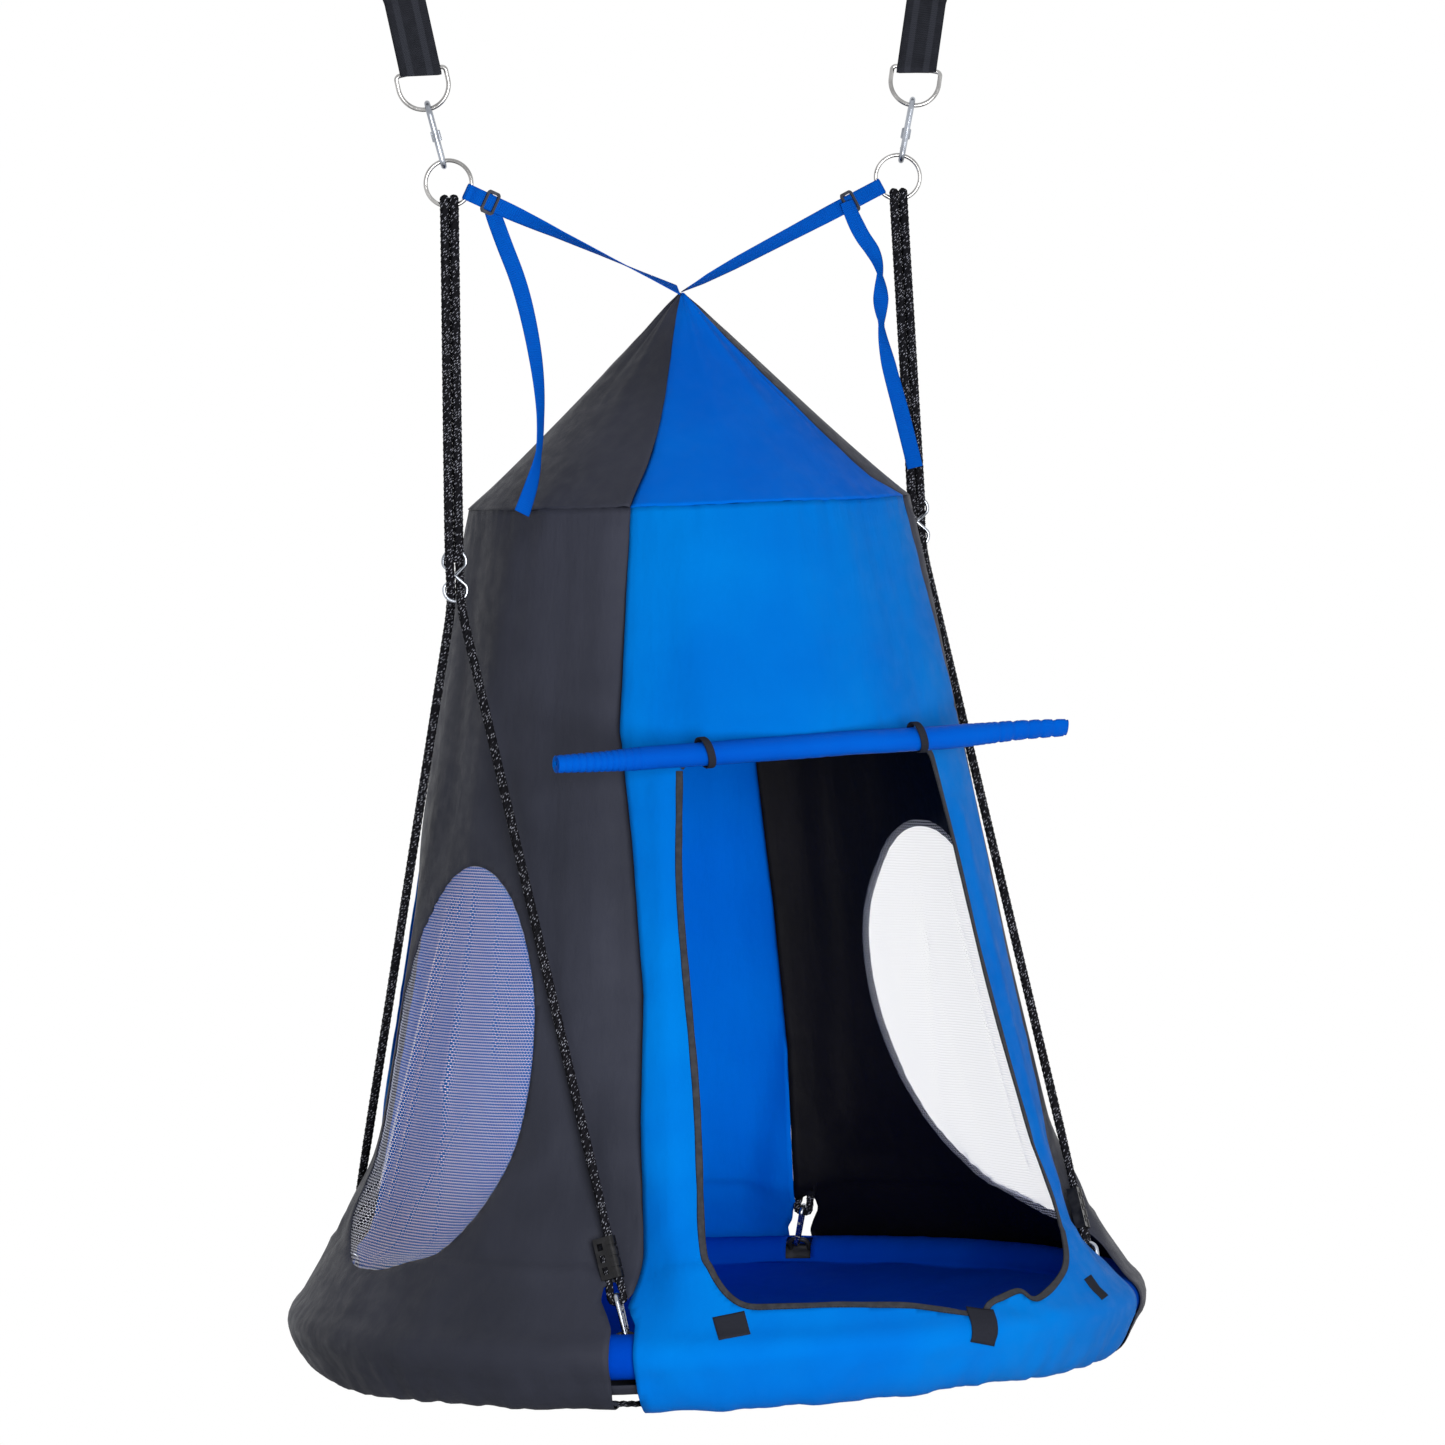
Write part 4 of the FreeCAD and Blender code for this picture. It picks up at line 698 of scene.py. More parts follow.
def corner_fittings(corner, goal):
    """The head of a corner's hook, the foot of its adjuster, the way up to the goal and across."""
    outward = Vector((*corner, 0)).normalized()
    lift = STAPLE_REACH / math.sqrt(2)
    crown = outward * (RING - lift) + UP * (lift + PLANE)
    tangent = UP.cross(outward)
    up = (goal - crown).normalized()
    for _ in range(3):
        beside = square_to(tangent, up)
        up = (goal - crown - beside * (BORES_APART / 2)).normalized()
    hook_foot = crown - up * ((STAPLE_WIRE + SEAT_HOOK_WIRE) / 2 + TOUCH)
    head = hook_foot + up * (SEAT_HOOK_LENGTH - SEAT_HOOK_WIRE)
    return head, head + up * ADJUSTER_GAP, up, square_to(tangent, up)


def half_route(side, way):
    """Control points of a rope from its end in the adjuster, in front or behind, up to the link."""
    goal = rope_pass(side, way)
    head, foot, up, beside = corner_fittings((SIDES[side], -way), goal)
    near, wide = BORES_APART / 2, (ROPE + SEAT_HOOK_WIRE) / 2 + 0.0001
    tail, main = foot - beside * near, foot + beside * near
    return [
        tail + up * (0.7 * ADJUSTER_LENGTH),
        tail,
        head - beside * wide + up * 0.002,
        head - beside * wide - up * wide,
        head + beside * wide - up * wide,
        head + beside * wide + up * 0.002,
        main,
        main + up * 0.11,
        goal - up * 0.06,
        goal,
    ]


def rope_route(side):
    """One rope: front hook, link, over the ring, round the link, over the ring, back hook."""
    bend = (ROPE + RING_WIRE) / 2 + 0.0003
    centre = link_centre(side)
    wire = ring_centre(side) - UP * RING_RADIUS
    apart, out, over = ACROSS * LEG_ASIDE, TOWARD * bend, UP * (bend + 0.0009)
    shift, shoulder = TOWARD * LEG_ABOVE, UP * (0.06 * LINK_LENGTH)
    loop_top = centre + UP * ((LINK_LENGTH - LINK_WIRE) / 2)
    swing = apart + out
    sink = UP * swing.length
    below = UP * (2 * bend)
    centre_run = [
        centre + apart - shift + shoulder,
        centre + apart - shift + UP * LEGS_CLOSE,
        wire + apart - out + over - below,
        wire + apart - out + over,
        wire + apart + out + over,
        wire + apart + out + over - below,
        loop_top + swing + sink,
        loop_top + swing - sink,
        loop_top - swing - sink,
        loop_top - swing + sink,
        wire - apart - out + over - below,
        wire - apart - out + over,
        wire - apart + out + over,
        wire - apart + out + over - below,
        centre - apart + shift + UP * LEGS_CLOSE,
        centre - apart + shift + shoulder,
    ]
    return half_route(side, 1) + centre_run + half_route(side, -1)[::-1]


# across the crowns of the strands by height: flattened where it passes its fittings
ROPE_LOOK = [(0.15, 0.0103), (0.21, 0.0118)]


def make_rope(side):
    """Strands laid round each other along the route."""
    route = rope_route(side)
    line = spaced(read_line("route", route), ROPE_STEP)
    frames = carried_frames(line, ACROSS)
    mesh = bmesh.new()
    for strand in range(STRANDS):
        turned = []
        for k, place in enumerate(frames):
            angle = math.tau * (k * ROPE_STEP / STRAND_LEAD + strand / STRANDS)
            look = between(place.translation.z - PLANE, ROPE_LOOK) / 2
            aside = Matrix.Translation((look * (1 - STRAND_SHARE), 0, 0))
            turn = Matrix.Rotation(angle, 4, "Z")
            turned.append(place @ turn @ (aside @ Matrix.Scale(look * STRAND_SHARE, 4)))
        sweep(mesh, round_section(1.0, 8), turned)
    bmesh.ops.recalc_face_normals(mesh, faces=mesh.faces)
    rope = new_piece(f"rope_{side}", mesh, "rope")
    settle(rope, "swing", f"suspension_rope_{side}")


TIP_STRAP, TIP_LAYER = 0.020, 0.0016
BUCKLE_REACH = {"left": 0.030, "right": 0.050}
TAIL_LEAN = math.radians(10.6)
# across and up from the buckle, in metres
TAIL_ROUTE = {
    "left": [(0, 0.004), (0.014, -0.042), (0.034, -0.098), (0.047, -0.163), (0.054, -0.228), (0.053, -0.290),
             (0.045, -0.335), (0.028, -0.378)],
    "right": [(-0.002, 0.004), (0.011, -0.034), (0.033, -0.064), (0.038, -0.098), (0.034, -0.152),
              (0.043, -0.206), (0.058, -0.270), (0.071, -0.334)],
}
# how far the webbing has turned on itself at shares of its length, in degrees
TAIL_TWIST = {
    "left": [(0, 0), (0.08, 30), (0.3, 17), (0.5, -5), (0.68, -33), (0.8, -42), (0.9, -13), (1, 7)],
    "right": [(0, 0), (0.1, 25), (0.2, 10), (0.29, -36), (0.38, 20), (0.47, -38), (0.62, 10), (0.8, 25),
              (1, 30)],
}


def tip_frame(side):
    """At the rope ring's wire: Z towards the tent's tip, X across the webbing."""
    centre = ring_centre(side)
    tip = Vector((SIDES[side] * 0.0045, 0, APEX_RISE + 0.003 + PLANE))
    toward = square_to(tip - centre, TOWARD)
    wire = centre + toward * RING_RADIUS
    across = toward.cross(TOWARD)
    across = across if across.z > 0 else -across
    return placement(wire, across, tip - wire), (tip - wire).length


def middle_of(points):
    """The middle of the box round the points."""
    return (Vector(map(min, *points)) + Vector(map(max, *points))) / 2


def make_tail(side):
    """The loose end of the tent's webbing, hanging from its buckle."""
    place, _ = tip_frame(side)
    flank, front = Vector((1, 0, 0)), Vector((0, -1, 0))  # the webbing's own plane, and out of it
    down = front * math.sin(TAIL_LEAN) - UP * math.cos(TAIL_LEAN)
    face = down.cross(flank)
    start = place @ Vector((0, 0, BUCKLE_REACH[side] + 0.006))
    drift = math.sin(TAIL_LEAN) * front.dot(ACROSS)  # how far the lean alone carries it sideways
    route = [start + flank * ((x + y * drift) / flank.dot(ACROSS)) - down * y for x, y in TAIL_ROUTE[side]]
    shift = middle(f"strap_tail_{side}") - middle_of(route)
    route = [point + front * shift.dot(front) for point in route]
    line = spaced(read_line("route", route), 0.005)
    frames = []
    for k, (point, along) in enumerate(zip(line, tangents(line))):
        turn = math.radians(between(k / (len(line) - 1), TAIL_TWIST[side]))
        frames.append(placement(point, along.cross(face), along) @ Matrix.Rotation(turn, 4, "Z"))
    section, marks = ribbon_section(TIP_STRAP, TIP_LAYER)
    tail = swept_piece(f"webbing_tail_{side}", section, frames, "blue_webbing", marks=marks)
    settle(tail, "swing", f"strap_tail_{side}")


for side_name in SIDES:
    make_rope(side_name)
    make_tail(side_name)


# ---------------------------------------------------------------- hanging straps

STRAP, STRAP_LAYER = 0.050, 0.0025
PIVOT_X, PIVOT_DROP = 0.347, 0.272
EYE_RADIUS, EYE_PINCH, EYES_APART = 0.045, 0.062, 0.810
BEAM_START, BEAM_SWEEP = -124, -292  # where an eye's turn round the beam starts and how far it goes
BAR_RISE, BAR_WIRE = 0.046, 0.0055
STRAIGHT = 0.134  # contact up to where the strap starts to turn towards the beam


def make_hanging_strap(side):
    """One loop of black webbing round the D-ring's bar and the beam, sewn flat between them."""
    contact = Vector((SIDES[side] * PIVOT_X, 0, -PIVOT_DROP))
    eye = Vector((SIDES[side] * EYES_APART / 2, 0, 0))
    low = placement(contact, ACROSS, eye - contact)
    high = placement(eye - UP * (EYE_PINCH + 0.006), Vector((1, 0, 0)), UP)
    layer = STRAP_LAYER / 2
    fold = BAR_WIRE / 2 + TOUCH + layer
    start = BAR_RISE + 0.014

    def base(share):
        """A frame between the two layers, from the bar (0) to the neck of the eye (1)."""
        if share <= 0.5:
            return low @ Matrix.Translation((0, 0, start + (STRAIGHT - start) * share * 2))
        return (low @ Matrix.Translation((0, 0, STRAIGHT))).lerp(high, share * 2 - 1)

    steps = 30
    front = [base(k / steps) @ Vector((0, -layer - 0.0001, 0)) for k in range(steps + 1)]
    back = [base(k / steps) @ Vector((0, layer + 0.0001, 0)) for k in range(steps, -1, -1)]
    eye_arc = []
    for k in range(37):
        angle = math.radians(BEAM_START + BEAM_SWEEP * k / 36)
        arm = Vector((0, math.cos(angle), math.sin(angle)))
        eye_arc.append(eye + arm * (EYE_RADIUS + layer + 0.0003))
    bar_arc = []
    for k in range(13):
        angle = math.pi * k / 12
        bar_arc.append(low @ Vector((0, math.cos(angle) * fold, BAR_RISE - math.sin(angle) * fold)))
    line = spaced(front + eye_arc + back + bar_arc, 0.004, closed=True)
    lowest, highest = front[steps // 2].z, high.translation.z
    wide = [ACROSS.lerp(Vector((1, 0, 0)), ease(p.z, lowest, highest)) for p in line]
    frames = [placement(p, w, along) for p, w, along in zip(line, wide, tangents(line, closed=True))]
    section, marks = ribbon_section(STRAP, STRAP_LAYER - 0.0001, 12)
    strap = swept_piece(f"webbing_strap_{side}", section, frames, "black_webbing", closed=True, marks=marks)
    settle(strap, "hangers", f"hanging_strap_{side}")


# ---------------------------------------------------------------- webbing to the tent's tip

TIP_BUCKLE_LENGTH = 0.019
TIP_TWIST = {
    "left": [(0, 0), (0.15, 30), (0.33, 57), (0.7, 90), (1, 118)],
    "right": [(0, 0), (0.15, -20), (0.33, -33), (0.68, -48), (0.87, -65), (1, -88)],
}


def make_tip_strap(side):
    """Blue webbing round the rope ring, double up to its buckle and single on to the tip."""
    place, long = tip_frame(side)
    bow = RING_RADIUS - math.sqrt(RING_RADIUS ** 2 - TIP_STRAP ** 2 / 4)
    reach = (RING_WIRE + bow) / 2 + 0.00045 + TIP_LAYER / 2
    double = BUCKLE_REACH[side] + TIP_BUCKLE_LENGTH / 2 + 0.004
    layer = TIP_LAYER / 2 + 0.0001
    leg = [(layer, rise) for rise in (double, double - 0.012, 0.018, 0.010)]
    leg.append((layer + 0.0004, 0.0070))
    fold = []
    for turn in range(45, -226, -30):
        arm = level(math.radians(turn)) * reach
        fold.append((arm.x, arm.y - bow / 2))
    loop = leg + fold + [(-y, z) for y, z in reversed(leg)]
    line = spaced(read_line("fold", [place @ Vector((0, y, z)) for y, z in loop]), 0.002)
    width = place.to_3x3() @ Vector((1, 0, 0))
    frames = [placement(p, width, along) for p, along in zip(line, tangents(line))]
    steps = 60
    for k in range(1, steps + 1):
        share = k / steps
        rise = double + (long - double) * share
        twist = math.radians(between(share, TIP_TWIST[side]))
        soft = -layer * (1 - ease(share, 0, 0.1))
        frames.append(place @ (Matrix.Translation((0, soft, rise)) @ Matrix.Rotation(twist, 4, "Z")))
    section, marks = ribbon_section(TIP_STRAP, TIP_LAYER - 0.0002)
    strap = swept_piece(f"webbing_{side}", section, frames, "blue_webbing", marks=marks)
    settle(strap, "swing", f"tip_strap_{side}")


for side_name in SIDES:
    make_hanging_strap(side_name)
    make_tip_strap(side_name)


# ---------------------------------------------------------------- tent walls

PANELS = {"front": -90.0, "right": 0.0, "back": 90.0, "left": 180.0}  # way each one faces
GRID = 0.0075  # spacing of the walls' grids
MAP_RADIUS = 0.45  # turns azimuths into metres of cloth on the maps
CLOTH = 0.0011


def wall_line():
    """The wall as (radius, rise): round the drawcord, under the ring and up to the eave."""
    points = []
    for turn in range(10, 251, 30):
        arm = level(math.radians(turn)) * (HEM_TUNNEL - 0.0002)
        points.append((HEM_RADIUS + arm.x, HEM_RISE + arm.y))
    points += [(0.470, -0.0665), (0.490, -0.0665), (0.507, -0.051)]
    for turn in (-40, -27, -13, 0, 14, 30, 47):
        arm = level(math.radians(turn)) * WALL_GIRTH
        points.append((RING + arm.x, arm.y))
    points += [(0.4465, 0.088), (0.4385, 0.110), (0.431, 0.135), (0.4165, 0.200), (0.403, 0.265)]
    points += [(0.378, 0.390), (0.3475, 0.550), (0.3125, 0.745), (EAVE_RADIUS, EAVE_RISE)]
    return spaced(read_line("wall", [Vector((r, 0, z)) for r, z in points]), GRID)


LINE = wall_line()
LINE_NORMALS = [Vector((t.z, 0, -t.x)) for t in tangents(LINE)]
HEM_ROWS = next(i for i, p in enumerate(LINE) if p.x > 0.49)  # rows of the rolled hem


def row_at(rise):
    """How many rows up the wall that height is, above the ring's widest place."""
    for i in range(len(LINE) - 1, 0, -1):
        if LINE[i - 1].z <= rise:
            return i - 1 + min((rise - LINE[i - 1].z) / (LINE[i].z - LINE[i - 1].z), 1.0)
    return 0.0


def line_at(row):
    """Point and normal of the wall's line that many rows up."""
    i = min(int(row), len(LINE) - 2)
    share = row - i
    return LINE[i].lerp(LINE[i + 1], share), LINE_NORMALS[i].lerp(LINE_NORMALS[i + 1], share)


# how far each corner's seam strays from its own azimuth, by height, in degrees
SEAM_DRIFT = {
    225: [(0.06, 2.2), (0.26, 1.6), (0.41, 2.0), (0.59, -0.3), (0.68, -2.2), (0.72, -3.2), (0.98, -2.0)],
    315: [(0.06, 0.5), (0.3, -0.6), (0.6, 0.8), (0.98, 0.0)],
    45: [(0.06, -0.4), (0.28, -1.7), (0.47, -1.2), (0.66, 0.2), (0.98, 0.0)],
    135: [(0.06, -0.5), (0.4, 0.8), (0.7, -0.6), (0.98, 0.4)],
}


def seam_azimuth(corner, rise):
    return math.radians(corner + between(rise, SEAM_DRIFT[corner % 360]) * ease(rise, 0.03, 0.12))


def soft_noise(x, y, seed):
    return noise.noise(Vector((x, y, seed * 7.31)))


# soft ridges (or, with a negative depth, hollows) of the cloth between two places, each
# given as azimuth from the door's middle towards the left and height: width and depth
FOLDS = {
    "front": [
        ((33, 0.93), (30, 0.72), 0.030, 0.004), ((8, 0.95), (10, 0.72), 0.060, 0.004),
        ((-20, 0.96), (-24, 0.72), 0.035, -0.003), ((40, 0.66), (38.5, 0.15), 0.012, 0.003),
        ((-33, 0.60), (-38, 0.15), 0.012, 0.003), ((30, -0.012), (-30, -0.012), 0.010, -0.0022),
        ((-10, 0.033), (-19, -0.002), 0.008, -0.004), ((-14, 0.036), (-21, 0.012), 0.006, 0.003),
        ((40, 0.0), (43, -0.04), 0.010, 0.004), ((12, 0.03), (20, -0.02), 0.018, 0.0015),
    ],
    "left": [
        ((123, 0.50), (120, 0.20), 0.070, -0.009),
        ((53, 0.95), (52, 0.45), 0.022, 0.0035), ((66, 0.95), (62, 0.40), 0.024, -0.0035),
        ((82, 0.93), (84, 0.62), 0.024, 0.004), ((100, 0.95), (97, 0.62), 0.026, -0.004),
        ((118, 0.95), (124, 0.10), 0.030, 0.003), ((52, 0.30), (56, 0.06), 0.022, -0.0035),
        ((60, 0.25), (75, 0.055), 0.020, 0.003), ((118, 0.11), (127, 0.03), 0.022, 0.006),
        ((108, 0.06), (95, 0.05), 0.016, -0.003), ((50, 0.07), (120, 0.07), 0.030, 0.002),
    ],
    "right": [
        ((-50, 0.95), (-53, 0.12), 0.020, 0.003), ((-70, 0.95), (-68, 0.65), 0.03, -0.004),
        ((-100, 0.95), (-104, 0.6), 0.03, 0.004), ((-120, 0.7), (-126, 0.1), 0.02, -0.003),
    ],
    "back": [
        ((140, 0.95), (139, 0.2), 0.03, 0.004), ((158, 0.95), (161, 0.2), 0.035, -0.004),
        ((180, 0.95), (178, 0.2), 0.04, 0.004), ((203, 0.95), (200, 0.2), 0.035, -0.004),
        ((218, 0.95), (221, 0.2), 0.03, 0.004),
    ],
}
WINDOW_MIDDLE = Vector((0.008, 0.318, 0))  # across and rise
# each window's edge, as (across, rise), from its top round
WINDOWS = {
    "left": [
        (0.048, 0.566), (0.094, 0.541), (0.124, 0.501), (0.156, 0.426), (0.172, 0.325), (0.166, 0.230),
        (0.138, 0.154), (0.098, 0.102), (0.039, 0.079), (-0.030, 0.071), (-0.097, 0.076), (-0.148, 0.125),
        (-0.174, 0.210), (-0.176, 0.300), (-0.150, 0.380), (-0.111, 0.450), (-0.054, 0.515), (-0.004, 0.552),
    ],
    "right": [
        (0.030, 0.571), (0.076, 0.556), (0.114, 0.509), (0.148, 0.444), (0.158, 0.350), (0.147, 0.272),
        (0.126, 0.206), (0.100, 0.147), (0.056, 0.097), (-0.008, 0.072), (-0.060, 0.066), (-0.115, 0.080),
        (-0.160, 0.135), (-0.182, 0.220), (-0.176, 0.330), (-0.146, 0.430), (-0.095, 0.508), (-0.025, 0.560),
    ],
}


def fold_lift(folds, azimuth, radius, rise):
    """Sum of the soft ridges at a place on a panel."""
    total = 0.0
    right = math.degrees(azimuth) + 90  # of the door's middle
    for (a0, z0), (a1, z1), width, depth in folds:
        start = Vector((math.radians((-a0 - right + 180) % 360 - 180) * radius, z0 - rise))
        end = Vector((math.radians((-a1 - right + 180) % 360 - 180) * radius, z1 - rise))
        along = end - start
        share = min(max(-start.dot(along) / along.length_squared, 0), 1)
        away = (start + along * share).length
        if away < 3 * width:
            total += depth * bell(away, width)
    return total


# how far the cloth stands out between the ropes, by height
BULGE = [(0.03, 0.0), (0.085, 0.020), (0.13, 0.018), (0.20, 0.011), (0.55, 0.010), (0.75, 0.009),
         (0.98, 0.0)]
# a suspension rope in its own quarter, as (x, y, rise), from below its link to above its adjuster
ROPE_HIGH, ROPE_LOW = Vector((0.347, 0.02, 0.90)), Vector((0.322, 0.322, 0.10))


def rope_clearance(azimuth, radius, rise):
    """How far along the wall the nearest suspension rope is."""
    share = min(max((ROPE_HIGH.z - rise) / (ROPE_HIGH.z - ROPE_LOW.z), 0), 1.12)
    spot = ROPE_HIGH + (ROPE_LOW - ROPE_HIGH) * share
    turn = math.atan2(abs(math.sin(azimuth)), abs(math.cos(azimuth)))
    return abs(turn - math.atan2(spot.y, spot.x)) * radius


def broad_forms(panel, azimuth, radius, rise, seed):
    """Folds, slow waves and the way the cloth stands out between the ropes."""
    high = ease(rise, 0.04, 0.2)
    out = fold_lift(FOLDS[panel], azimuth, radius, rise) * (0.35 + 0.65 * high)
    out += 0.0032 * soft_noise(azimuth * 4.2, rise * 1.6, seed) * high
    bulge = between(rise, BULGE) * ease(rope_clearance(azimuth, radius, rise), 0.012, 0.065)
    out += bulge if panel in ("front", "back") else bulge * (1 - ease(rise, 0.12, 0.25))
    return out + 0.0009 * soft_noise(azimuth * 13, rise * 7, seed + 1)


def sewn_edges(azimuth, rise, gap, seed):
    """Puckers below the eave and along a corner's seam."""
    below = max(EAVE_RISE - rise, 0)
    out = fade(below, 0.022) * (0.0018 * soft_noise(azimuth * 26, rise * 9, seed + 2) + 0.0006)
    out += 0.0010 * fade(below, 0.09) * soft_noise(azimuth * 16, rise * 3, seed + 3)
    out -= 0.0026 * bell(gap, 0.007)
    return out + 0.0014 * fade(gap, 0.016) * soft_noise(rise * 46, azimuth * 2, seed + 4)


def window_edge(side, u, rise, seed):
    """The stitched groove round a window and the puckers beside it."""
    away, turn = window_place(side, u, rise)
    if away < -0.01:
        return 0.0
    pucker = soft_noise(turn * 13, away * 9, seed + 5)
    return 0.0012 * fade(max(away, 0), 0.016) * pucker - 0.0016 * bell(away, 0.004)


def cross_seam(azimuth, turn, rise, seed):
    """The seam above the door."""
    above = rise - (0.717 + turn * 0.012)
    pucker = soft_noise(azimuth * 30, rise * 20, seed + 10)
    return 0.0018 * fade(abs(above), 0.010) * pucker - 0.0016 * bell(above, 0.003)


# where the skirt is creased below the ring's widest place, and how deep
CREASES = {"front": (-0.006, 0.0015), "right": (-0.022, 0.0025), "back": (-0.022, 0.0025),
           "left": (-0.030, 0.0025)}


def skirt_forms(panel, azimuth, rise, seed):
    """The crease round the ring, and the slack cloth and hem seam below it."""
    height, depth = CREASES[panel]
    crease = height + 0.006 * soft_noise(azimuth * 3, 0.5, seed + 11)
    out = -depth * bell(rise - crease, 0.005) * ease(soft_noise(azimuth * 5, 2.5, seed), -0.6, 0.0)
    out -= (depth - 0.0015) * 2 * ease(crease - rise, 0.0, 0.012)
    low = ease(-rise, -0.004, 0.03)
    if low > 0:
        out += low * 0.0032 * soft_noise(azimuth * 15, rise * 16, seed + 6)
        out += low * 0.0014 * soft_noise(azimuth * 42, rise * 10, seed + 7)
    if panel != "front":
        out -= bell(rise + 0.009, 0.003) * (0.0022 + 0.0012 * soft_noise(azimuth * 34, 0.0, seed + 8))
        out += 0.0010 * bell(rise + 0.016, 0.007) * soft_noise(azimuth * 30, rise * 40, seed + 9)
    return out


def lift(panel, azimuth, row, gap):
    """How far the cloth stands out at a place; gap is the distance to its nearest seam."""
    point = line_at(row)[0]
    radius, rise = point.x, point.z
    turn = azimuth - math.radians(PANELS[panel])
    seed = PANELS[panel] / 90 + 5
    out = broad_forms(panel, azimuth, radius, rise, seed) + sewn_edges(azimuth, rise, gap, seed)
    if panel in SIDES:
        out += window_edge(panel, turn * radius, rise, seed)
    if panel == "front":
        out += cross_seam(azimuth, turn, rise, seed)
    return out + skirt_forms(panel, azimuth, rise, seed)


def rounded_outline(points, step=0.004):
    """A smooth closed outline from a few control points in a plane."""
    loop = [Vector((x, y, 0)) for x, y in points]
    join = loop[-1].lerp(loop[0], 0.5)
    return spaced(read_line("outline", [join, *loop, join])[:-1], step, closed=True)


def oval(side, grow=0.0):
    """A window's outline, leaning with the cloth it is cut from."""
    rays = [p - WINDOW_MIDDLE for p in rounded_outline(WINDOWS[side], 0.008)]
    return [WINDOW_MIDDLE + ray * (1 + grow / ray.length) for ray in rays]


def reaches(side, spokes=72):
    """How far a window's edge is from its middle, by direction."""
    found = [0.0] * spokes
    for p in rounded_outline(WINDOWS[side], 0.004):
        ray = p - WINDOW_MIDDLE
        turn = math.atan2(ray.y, ray.x) / math.tau % 1
        found[int(turn * spokes)] = max(found[int(turn * spokes)], ray.length)
    return found


WINDOW_REACHES = {side: reaches(side) for side in SIDES}


def window_place(side, u, rise):
    """Distance outside a window's edge, and the turn about its middle."""
    x, y = u - WINDOW_MIDDLE.x, rise - WINDOW_MIDDLE.y
    turn, table = math.atan2(y, x), WINDOW_REACHES[side]
    return math.hypot(x, y) - table[int(turn / math.tau % 1 * len(table))], turn


def on_wall(panel, azimuth, row, gap=0.1):
    """A place on the finished outer face of a panel."""
    point, normal = line_at(row)
    out = lift(panel, azimuth, row, gap)
    rise = point.z + normal.z * out
    rise += ease(-point.z, 0.035, 0.062) * 0.0035 * soft_noise(azimuth * 9, 1.0, PANELS[panel] / 90)
    if panel == "front":
        rise += ease(-point.z, 0.03, 0.06) * 0.004 * bell(azimuth + math.pi / 2, 0.3)
    return level(azimuth) * (point.x + normal.x * out) + UP * (rise + PLANE)


# the door's edge, as (across, rise), from its top left corner down and round
DOOR = [
    (-0.187, 0.700), (-0.194, 0.640), (-0.2085, 0.534), (-0.2156, 0.406), (-0.2226, 0.290), (-0.2326, 0.198),
    (-0.2424, 0.119), (-0.2445, 0.085), (-0.2445, 0.069), (-0.240, 0.057), (-0.230, 0.050), (-0.214, 0.0485),
    (-0.160, 0.048), (-0.116, 0.046), (-0.050, 0.042), (0.000, 0.034), (0.030, 0.028), (0.054, 0.027),
    (0.063, 0.035), (0.095, 0.040), (0.122, 0.043), (0.133, 0.031), (0.160, 0.035), (0.195, 0.045),
    (0.222, 0.056), (0.237, 0.076), (0.2413, 0.133), (0.225, 0.210), (0.204, 0.300), (0.1813, 0.410),
    (0.163, 0.550), (0.1453, 0.640), (0.135, 0.700),
]
# the slot at a corner that a seat hook comes through, as (across, rise)
NOTCH = [
    (-0.024, -0.091), (-0.021, -0.040), (-0.020, 0.020), (-0.018, 0.038), (-0.009, 0.050), (-0.004, 0.064),
    (0.004, 0.078), (0.016, 0.083), (0.026, 0.076), (0.027, 0.060), (0.017, 0.046), (0.010, 0.034),
    (0.009, 0.010), (0.011, -0.040), (0.017, -0.091),
]


def inside(x, y, outline):
    """Whether a place lies inside a closed outline."""
    odd = False
    for a, b in zip(outline, outline[1:] + outline[:1]):
        if (a.y > y) != (b.y > y) and x < a.x + (b.x - a.x) * (y - a.y) / (b.y - a.y):
            odd = not odd
    return odd


def nearest(x, y, outline):
    """The closest place to (x, y) on a closed outline."""
    best, chosen = 1e9, None
    for a, b in zip(outline, outline[1:] + outline[:1]):
        along = b - a
        share = min(max(((x - a.x) * along.x + (y - a.y) * along.y) / along.length_squared, 0), 1)
        spot = a + along * share
        away = (spot.x - x) ** 2 + (spot.y - y) ** 2
        if away < best:
            best, chosen = away, spot
    return chosen, math.sqrt(best)


def cut_opening(mesh, places, outline, centre):
    """Takes out what lies inside an outline seen square on, and fits the edge to it.

    places holds (azimuth, row) of each vertex; centre is the azimuth that the outline faces."""
    low = Vector((min(p.x for p in outline), min(p.y for p in outline)))
    high = Vector((max(p.x for p in outline), max(p.y for p in outline)))
    margin, flat = 2 * GRID, {}
    for vert in mesh.verts:
        azimuth, row = places[vert]
        point = line_at(row)[0]
        x, y = point.x * math.sin(azimuth - centre), point.z
        if low.x - margin < x < high.x + margin and low.y - margin < y < high.y + margin:
            flat[vert] = x, y
    edge = cut_faces(mesh, flat, outline, [f for f in mesh.faces if all(v in flat for v in f.verts)])
    for vert in edge:
        spot, away = nearest(*flat[vert], outline)
        azimuth, row = places[vert]
        if away > margin:
            continue
        radius = line_at(row)[0].x
        if row >= HEM_ROWS:
            upright = line_at(row)[1].x > 0.3 and abs(spot.y - flat[vert][1]) < GRID * 1.5
            if spot.y > 0.01 and (spot.y > 0.02 or upright):
                row = row_at(spot.y)
                radius = line_at(row)[0].x
        places[vert] = centre + math.asin(max(min(spot.x / radius, 1), -1)), row


